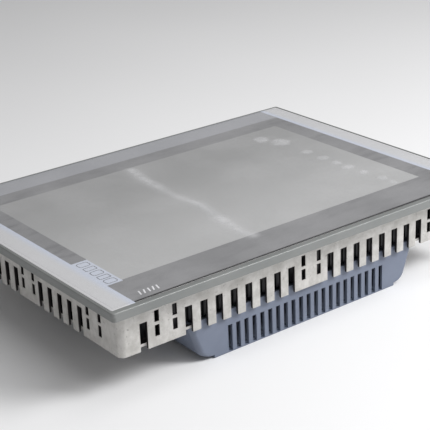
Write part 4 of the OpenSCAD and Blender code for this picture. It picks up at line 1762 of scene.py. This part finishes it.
@dataclass
class RearCover:
    """The moulded rear cover and its label.

    Attributes:
        lean: How far the short sides lean in, in degrees.
        edge: Radius of the lower edge on the short sides.
        corner: Radius of the corners seen from above.
        foot_half: Half the foot's width.
        foot_high: Height of the foot.
        foot_edge: Where the foot begins on the open side.
        wall: Thickness of the wall.
        vents: Number of vents in the upper wall.
        vent_pitch: Distance between them.
        vent_wide: Width of a vent.
        vent_levels: Lower and upper end of a vent.
        foot_round: Radius of the foot's edge under the vents.
        tab_out: How far the tabs stand out past the rim.
        tab: Width, height and corner radius of a tab.
        tab_inset: How far a tab's middle lies inside its screw's.
        tab_levels: Lower and upper side of a tab, and the bevel along its top.
        rear_vents: Number of vents in the foot.
        rear_pitch: Distance between those.
        rear_reach: Lower and upper end of those along Y.
        label_bed: Half the width and height of the label's bed, and its middle along Y.
        bed_depth: Depth of the bed.
        arc_steps: Edges across the lower edge's rounding.
        rounding: Radius of all other edges.
    """

    lean: float = 20.0
    edge: float = 8.0
    corner: float = 4.0
    foot_half: float = 81.4
    foot_high: float = 2.5
    foot_edge: float = -62.0
    wall: float = 2.0
    vents: int = 21
    vent_pitch: float = 6.8
    vent_wide: float = 3.5
    vent_levels: tuple[float, float] = (0.8, 20.0)
    foot_round: float = 0.6
    tab_out: float = 8.1
    tab: tuple[float, float, float] = (11.0, 12.0, 2.6)
    tab_inset: float = 2.0
    tab_levels: tuple[float, float, float] = (27.2, 28.95, 0.2)
    rear_vents: int = 15
    rear_pitch: float = 9.52
    rear_reach: tuple[float, float] = (-50.0, -35.0)
    label_bed: tuple[float, float, float] = (35.2, 20.2, 30.0)
    bed_depth: float = 0.5
    arc_steps: int = 12
    rounding: float = 0.4

    def openings(self, count: int, pitch: float) -> list[tuple[float, float]]:
        """The low and high end of each vent in a row.

        Args:
            count: Number of vents.
            pitch: Distance between them.

        Returns:
            The ends along X.
        """
        middles = [(i - (count - 1) / 2) * pitch for i in range(count)]
        return [(m - self.vent_wide / 2, m + self.vent_wide / 2) for m in middles]

    def shell(self, span: Span, rim: float) -> Draft:
        """Models the cover's outer skin with its openings.

        Args:
            span: The cover's box.
            rim: Half the cover's width at its rim.

        Returns:
            The skin.
        """
        near, beyond = span.high.y, span.low.y - 30
        middle, depth = (near + beyond) / 2, near - beyond
        lean, arc_z = math.radians(self.lean), self.foot_high + self.edge
        arc_x = rim - ((span.high.z - arc_z) * math.sin(lean) + self.edge) / math.cos(lean)
        rings = [(Outline(2 * rim, depth, self.corner, y=middle), span.high.z)]
        for step in range(self.arc_steps + 1):
            turn = lean + (math.pi / 2 - lean) * step / self.arc_steps
            half = arc_x + self.edge * math.cos(turn)
            level = arc_z - self.edge * math.sin(turn)
            rings.append((Outline(2 * half, depth, self.corner, y=middle), level))
        draft = Draft()
        draft.loft(rings, caps=Caps.LAST)
        draft.orient()
        self.turn_outwards(draft)
        draft.cut(Axis.Y, (span.low.y,), Keep.ABOVE)
        draft.cut(Axis.X, (-self.foot_half, self.foot_half))
        draft.cut(Axis.Y, (self.foot_edge,))
        draft.push(
            lambda at, normal: normal.z < -STEEP
            and at.z < self.foot_high + TINY
            and abs(at.x) < self.foot_half
            and at.y > self.foot_edge,
            (0, 0, -self.foot_high),
        )
        front = self.openings(self.vents, self.vent_pitch)
        rear = self.openings(self.rear_vents, self.rear_pitch)
        bed_x, bed_y, bed_at = self.label_bed
        draft.cut(Axis.X, sorted({x for pair in front + rear for x in pair} | {-bed_x, bed_x}))
        draft.cut(Axis.Y, (*self.rear_reach, bed_at - bed_y, bed_at + bed_y))
        draft.cut(Axis.Z, self.vent_levels)
        draft.push(
            lambda at, normal: normal.z < -STEEP
            and at.z < TINY
            and abs(at.x) < bed_x
            and abs(at.y - bed_at) < bed_y,
            (0, 0, self.bed_depth),
        )

        def open_here(at: Vector, normal: Vector) -> bool:
            """True for a face in a vent."""
            in_front = any(low < at.x < high for low, high in front)
            if in_front and at.y > near - TINY and self.vent_levels[0] < at.z < self.vent_levels[1]:
                return True
            in_rear = any(low < at.x < high for low, high in rear)
            return in_rear and at.z < TINY and self.rear_reach[0] < at.y < self.rear_reach[1]

        draft.remove(open_here)
        return draft

    def turn_outwards(self, draft: Draft) -> None:
        """Makes sure that the open skin's bottom faces down."""
        bottom = draft.faces(
            lambda at, normal: at.z < self.foot_high + TINY and abs(normal.z) > STEEP
        )
        if bottom and bottom[0].normal.z > 0:
            bmesh.ops.reverse_faces(draft.mesh, faces=draft.mesh.faces)

    def build(self) -> None:
        """Makes the cover with its tabs, and the label."""
        span = Span.of("rear_cover")
        screws = Span.of("cover_screws")
        draft = self.shell(span, span.high.x - self.tab_out)
        draft.thicken(self.wall)
        draft.tidy()
        near = span.high.y
        clear = self.foot_round + 0.05
        draft.soften(self.foot_round, 4, lambda at: at.z < TINY and at.y > near - TINY)
        draft.soften(self.rounding, 2, lambda at: at.z > clear or at.y < near - clear)
        head = Fasteners.head
        tab_x = screws.high.x - head - self.tab_inset
        low, top, bevel = self.tab_levels
        for side in (-1, 1):
            for y in (screws.low.y + head, screws.centre.y, screws.high.y - head):
                tab = Outline(*self.tab, side * tab_x, y)
                part = Draft()
                part.loft([(tab, low), (tab, top - bevel), (tab.grown(-bevel), top)])
                part.orient()
                draft.join(part)
        draft.piece("vented_cover", COVER_PLASTIC, ["rear_cover"])
        self.label()

    def label(self) -> None:
        """Makes the blank label."""
        span = Span.of("rating_plate")
        outline = Outline(span.size.x, span.size.y, 1.2, span.centre.x, span.centre.y)
        draft = Draft()
        low, edge = span.low.z, 0.1
        draft.loft([(outline.grown(-edge), low), (outline, low + edge), (outline, span.high.z)])
        draft.orient()
        draft.piece("blank_label", LABEL_WHITE, ["rating_plate"])


# ---------- fasteners ----------


@dataclass
class Fasteners:
    """Screws whose heads show.

    Attributes:
        head: Radius of a head.
        head_high: Height of a head.
        shank: Radius of a shank.
        socket: Radius of the recess.
        socket_deep: Depth of the recess.
        flats: Number of the recess's sides.
        rounding: Radius of the head's outer edge.
        rim: Width of the flat round the recess.
        tip: Size of the bevel at the shank's end.
        steps: Number of faces round a screw.
        arc_steps: Edges across the head's rounding.
    """

    head: float = 2.8
    head_high: float = 1.9
    shank: float = 1.5
    socket: float = 1.35
    socket_deep: float = 1.1
    flats: int = 6
    rounding: float = 0.9
    rim: float = 0.15
    tip: float = 0.3
    steps: int = 24
    arc_steps: int = 5

    def screw(self, draft: Draft, length: float) -> list[BMVert]:
        """Adds one screw along Z with its head's bearing face at the origin and its shank up.

        Args:
            draft: The mesh to add to.
            length: Length of the shank.

        Returns:
            Its vertices.
        """
        known = set(draft.mesh.verts)
        face, bend = -self.head_high, self.rounding
        profile = [(self.socket + self.rim, face)]
        for step in range(self.arc_steps + 1):
            turn = math.pi / 2 * step / self.arc_steps
            radius = self.head - bend + bend * math.sin(turn)
            profile.append((radius, face + bend * (1 - math.cos(turn))))
        profile += [
            (self.head, 0.0),
            (self.shank, 0.0),
            (self.shank, length - self.tip),
            (self.shank - self.tip, length),
            (0.0, length),
        ]
        draft.turned(profile, self.steps)
        rim = [edge for edge in draft.mesh.edges if edge.is_boundary]
        mouth = bmesh.ops.create_circle(
            draft.mesh, cap_ends=False, segments=self.steps, radius=self.socket
        )["verts"]
        sector = math.tau / self.flats
        for vert in mouth:
            turn = math.atan2(vert.co.y, vert.co.x) % sector - sector / 2
            vert.co *= math.cos(sector / 2) / math.cos(turn)
            vert.co.z = face
        ring = list(dict.fromkeys(edge for vert in mouth for edge in vert.link_edges))
        bmesh.ops.bridge_loops(draft.mesh, edges=rim + ring)
        deep = bmesh.ops.extrude_edge_only(draft.mesh, edges=ring)["geom"]
        floor = [item for item in deep if isinstance(item, BMVert)]
        bmesh.ops.translate(draft.mesh, vec=(0, 0, self.socket_deep), verts=floor)
        mouth = [item for item in deep if isinstance(item, BMEdge)]
        bmesh.ops.contextual_create(draft.mesh, geom=mouth)
        return [vert for vert in draft.mesh.verts if vert not in known]

    def row(self, name: str, node: str, spots: Sequence[tuple[float, float]], z: float) -> None:
        """Makes a set of equal screws.

        Args:
            name: The piece's name.
            node: The CAD node that it replaces.
            spots: Their places.
            z: Level of the heads' bearing faces.
        """
        draft = Draft()
        verts = self.screw(draft, Span.of(node).high.z - z)
        draft.repeat(verts, [Matrix.Translation((x, y, z)) for x, y in spots])
        draft.orient()
        draft.piece(name, SCREW_STEEL, [node])

    def build(self) -> None:
        """Makes the screws of the cover and of the interface plate."""
        cover = Span.of("cover_screws")
        rows = (cover.low.y + self.head, cover.centre.y, cover.high.y - self.head)
        side = cover.high.x - self.head
        self.row(
            "cover_fixings",
            "cover_screws",
            [(s * side, y) for s in (-1, 1) for y in rows],
            cover.low.z + self.head_high,
        )
        plate = Span.of("plate_screws")
        reach = plate.high.x - self.head
        self.row(
            "plate_fixings",
            "plate_screws",
            [(x, plate.centre.y) for x in (-reach, -reach / 3, reach / 3, reach)],
            plate.low.z + self.head_high,
        )


# ---------- carried-over parts ----------


@dataclass
class CarriedParts:
    """CAD parts whose shape is right: they get a finish, and fine rounded edges where they show.

    Attributes:
        finishes: The finish of each node.
        rounded: Nodes that get rounded edges, with the radius in millimetres.
    """

    finishes: dict[str, Finish] = field(
        default_factory=lambda: {
            "touch_glass": TOUCH_GLASS,
            "dust_seal": FOAM,
            "lcd_panel": DISPLAY_DARK,
            "light_guide": LIGHT_GUIDE,
            "backlight_frame": TRAY_STEEL,
            "inner_chassis": BLACK_SHEET,
            "bezel_screws": SCREW_STEEL,
            "chassis_screws": SCREW_STEEL,
            "heat_spreader": PLATE_ALUMINIUM,
            "spreader_screws": SCREW_STEEL,
            "main_board": BOARD_GREEN,
            "processor": CHIP_BLACK,
            "memory_chips": CHIP_BLACK,
            "ribbon_headers": HEADER_IVORY,
            "board_screws": SCREW_STEEL,
            "display_cable": FLAT_CABLE,
            "touch_cable": FLAT_CABLE,
            "interface_plate": PLATE_STEEL,
            "jack_posts": SCREW_STEEL,
            "audio_jack": JACK_GREEN,
            "card_sockets": PORT_STEEL,
            "lock_rivets": SCREW_STEEL,
            "ground_stud": BRASS,
            "ground_nut": BRASS,
            "power_socket": TERMINAL_GREEN,
            CARD_LOCK_NODE: SLIDE_PLASTIC,
        }
    )
    rounded: dict[str, float] = field(
        default_factory=lambda: {
            "interface_plate": 0.25,
            "audio_jack": 0.2,
            "ground_nut": 0.25,
            "ground_stud": 0.2,
            "power_socket": 0.2,
            "lock_rivets": 0.25,
            "jack_posts": 0.2,
            "card_sockets": 0.15,
            "serial_port": 0.12,
            "ethernet_port_1": 0.15,
            "ethernet_port_2": 0.15,
            "usb_port_1": 0.12,
            "usb_port_2": 0.12,
            "service_port": 0.12,
            CARD_LOCK_NODE: 0.2,
        }
    )

    def shell_finish(
        self, node: str, inner: Sequence[float], front: float, inside: Tint, metal: float
    ) -> Finish:
        """A finish for a metal socket whose inside has another colour.

        Args:
            node: The socket's node.
            inner: Width and height of the inside, and its middle's height in the socket.
            front: How far behind the socket's front the inside begins.
            inside: Its colour.
            metal: 1 where the inside is metal.

        Returns:
            The finish.
        """
        span = Span.of(node)
        wide, high, level = inner
        x, z = span.centre.x, span.low.z + level
        return LinedSocket(
            "port_steel",
            PORT_STEEL.base,
            PORT_STEEL.shade,
            PORT_STEEL.patch,
            PORT_STEEL.rough,
            PORT_STEEL.grain,
            PORT_STEEL.depth,
            1.0,
            part=node,
            inside=inside,
            low=(x - wide / 2, span.low.y + front, z - high / 2),
            high=(x + wide / 2, span.high.y - 0.6, z + high / 2),
            inside_metal=metal,
        )

    def sockets(self) -> dict[str, Finish]:
        """The finishes of the metal sockets."""
        gold, black = tint(226, 190, 110), tint(34, 35, 38)
        made = {
            "serial_port": self.shell_finish("serial_port", (16.6, 8.1, 6.25), 0.4, black, 0.0),
            "service_port": self.shell_finish("service_port", (6.6, 2.8, 2.0), 0.4, black, 0.0),
        }
        for node in ("ethernet_port_1", "ethernet_port_2"):
            made[node] = self.shell_finish(node, (8.3, 1.3, 10.9), 0.8, gold, 1.0)
        for node in ("usb_port_1", "usb_port_2"):
            made[node] = self.shell_finish(node, (12.0, 5.0, 3.4), 0.8, black, 0.0)
        return made

    def dress(self, node: str, finish: Finish) -> None:
        """Gives one node its finish.

        Args:
            node: The node.
            finish: Its finish.
        """
        part = frame["nodes"][node]
        part.data.materials.clear()
        part.data.materials.append(finish.material())
        LOG.info("%s: finish %s", node, finish.name)

    def round_edges(self, node: str, radius: float) -> None:
        """Rounds the edges of one node with modifiers.

        Args:
            node: The node.
            radius: Radius of the rounding.
        """
        part = frame["nodes"][node]
        weld = part.modifiers.new("weld", "WELD")
        weld.merge_threshold = 0.002 * MM
        flat = part.modifiers.new("join_flats", "DECIMATE")
        flat.decimate_type = "DISSOLVE"
        flat.angle_limit = math.radians(0.5)
        edges = part.modifiers.new("round_edges", "BEVEL")
        edges.width = radius * MM
        edges.segments = 2
        edges.limit_method = "ANGLE"
        edges.angle_limit = math.radians(40)
        edges.use_clamp_overlap = True

    def build(self) -> None:
        """Dresses every carried-over node."""
        for node, finish in {**self.finishes, **self.sockets()}.items():
            self.dress(node, finish)
        for node, radius in self.rounded.items():
            self.round_edges(node, radius)


def main() -> None:
    """Builds the scene in order."""
    logging.basicConfig(level=logging.INFO, format="%(message)s")
    Studio().build()
    CarriedParts().build()
    FrontFrame().build()
    FrontPrint().build()
    CastHousing().build()
    RearCover().build()
    Fasteners().build()


if __name__ == "__main__":
    main()
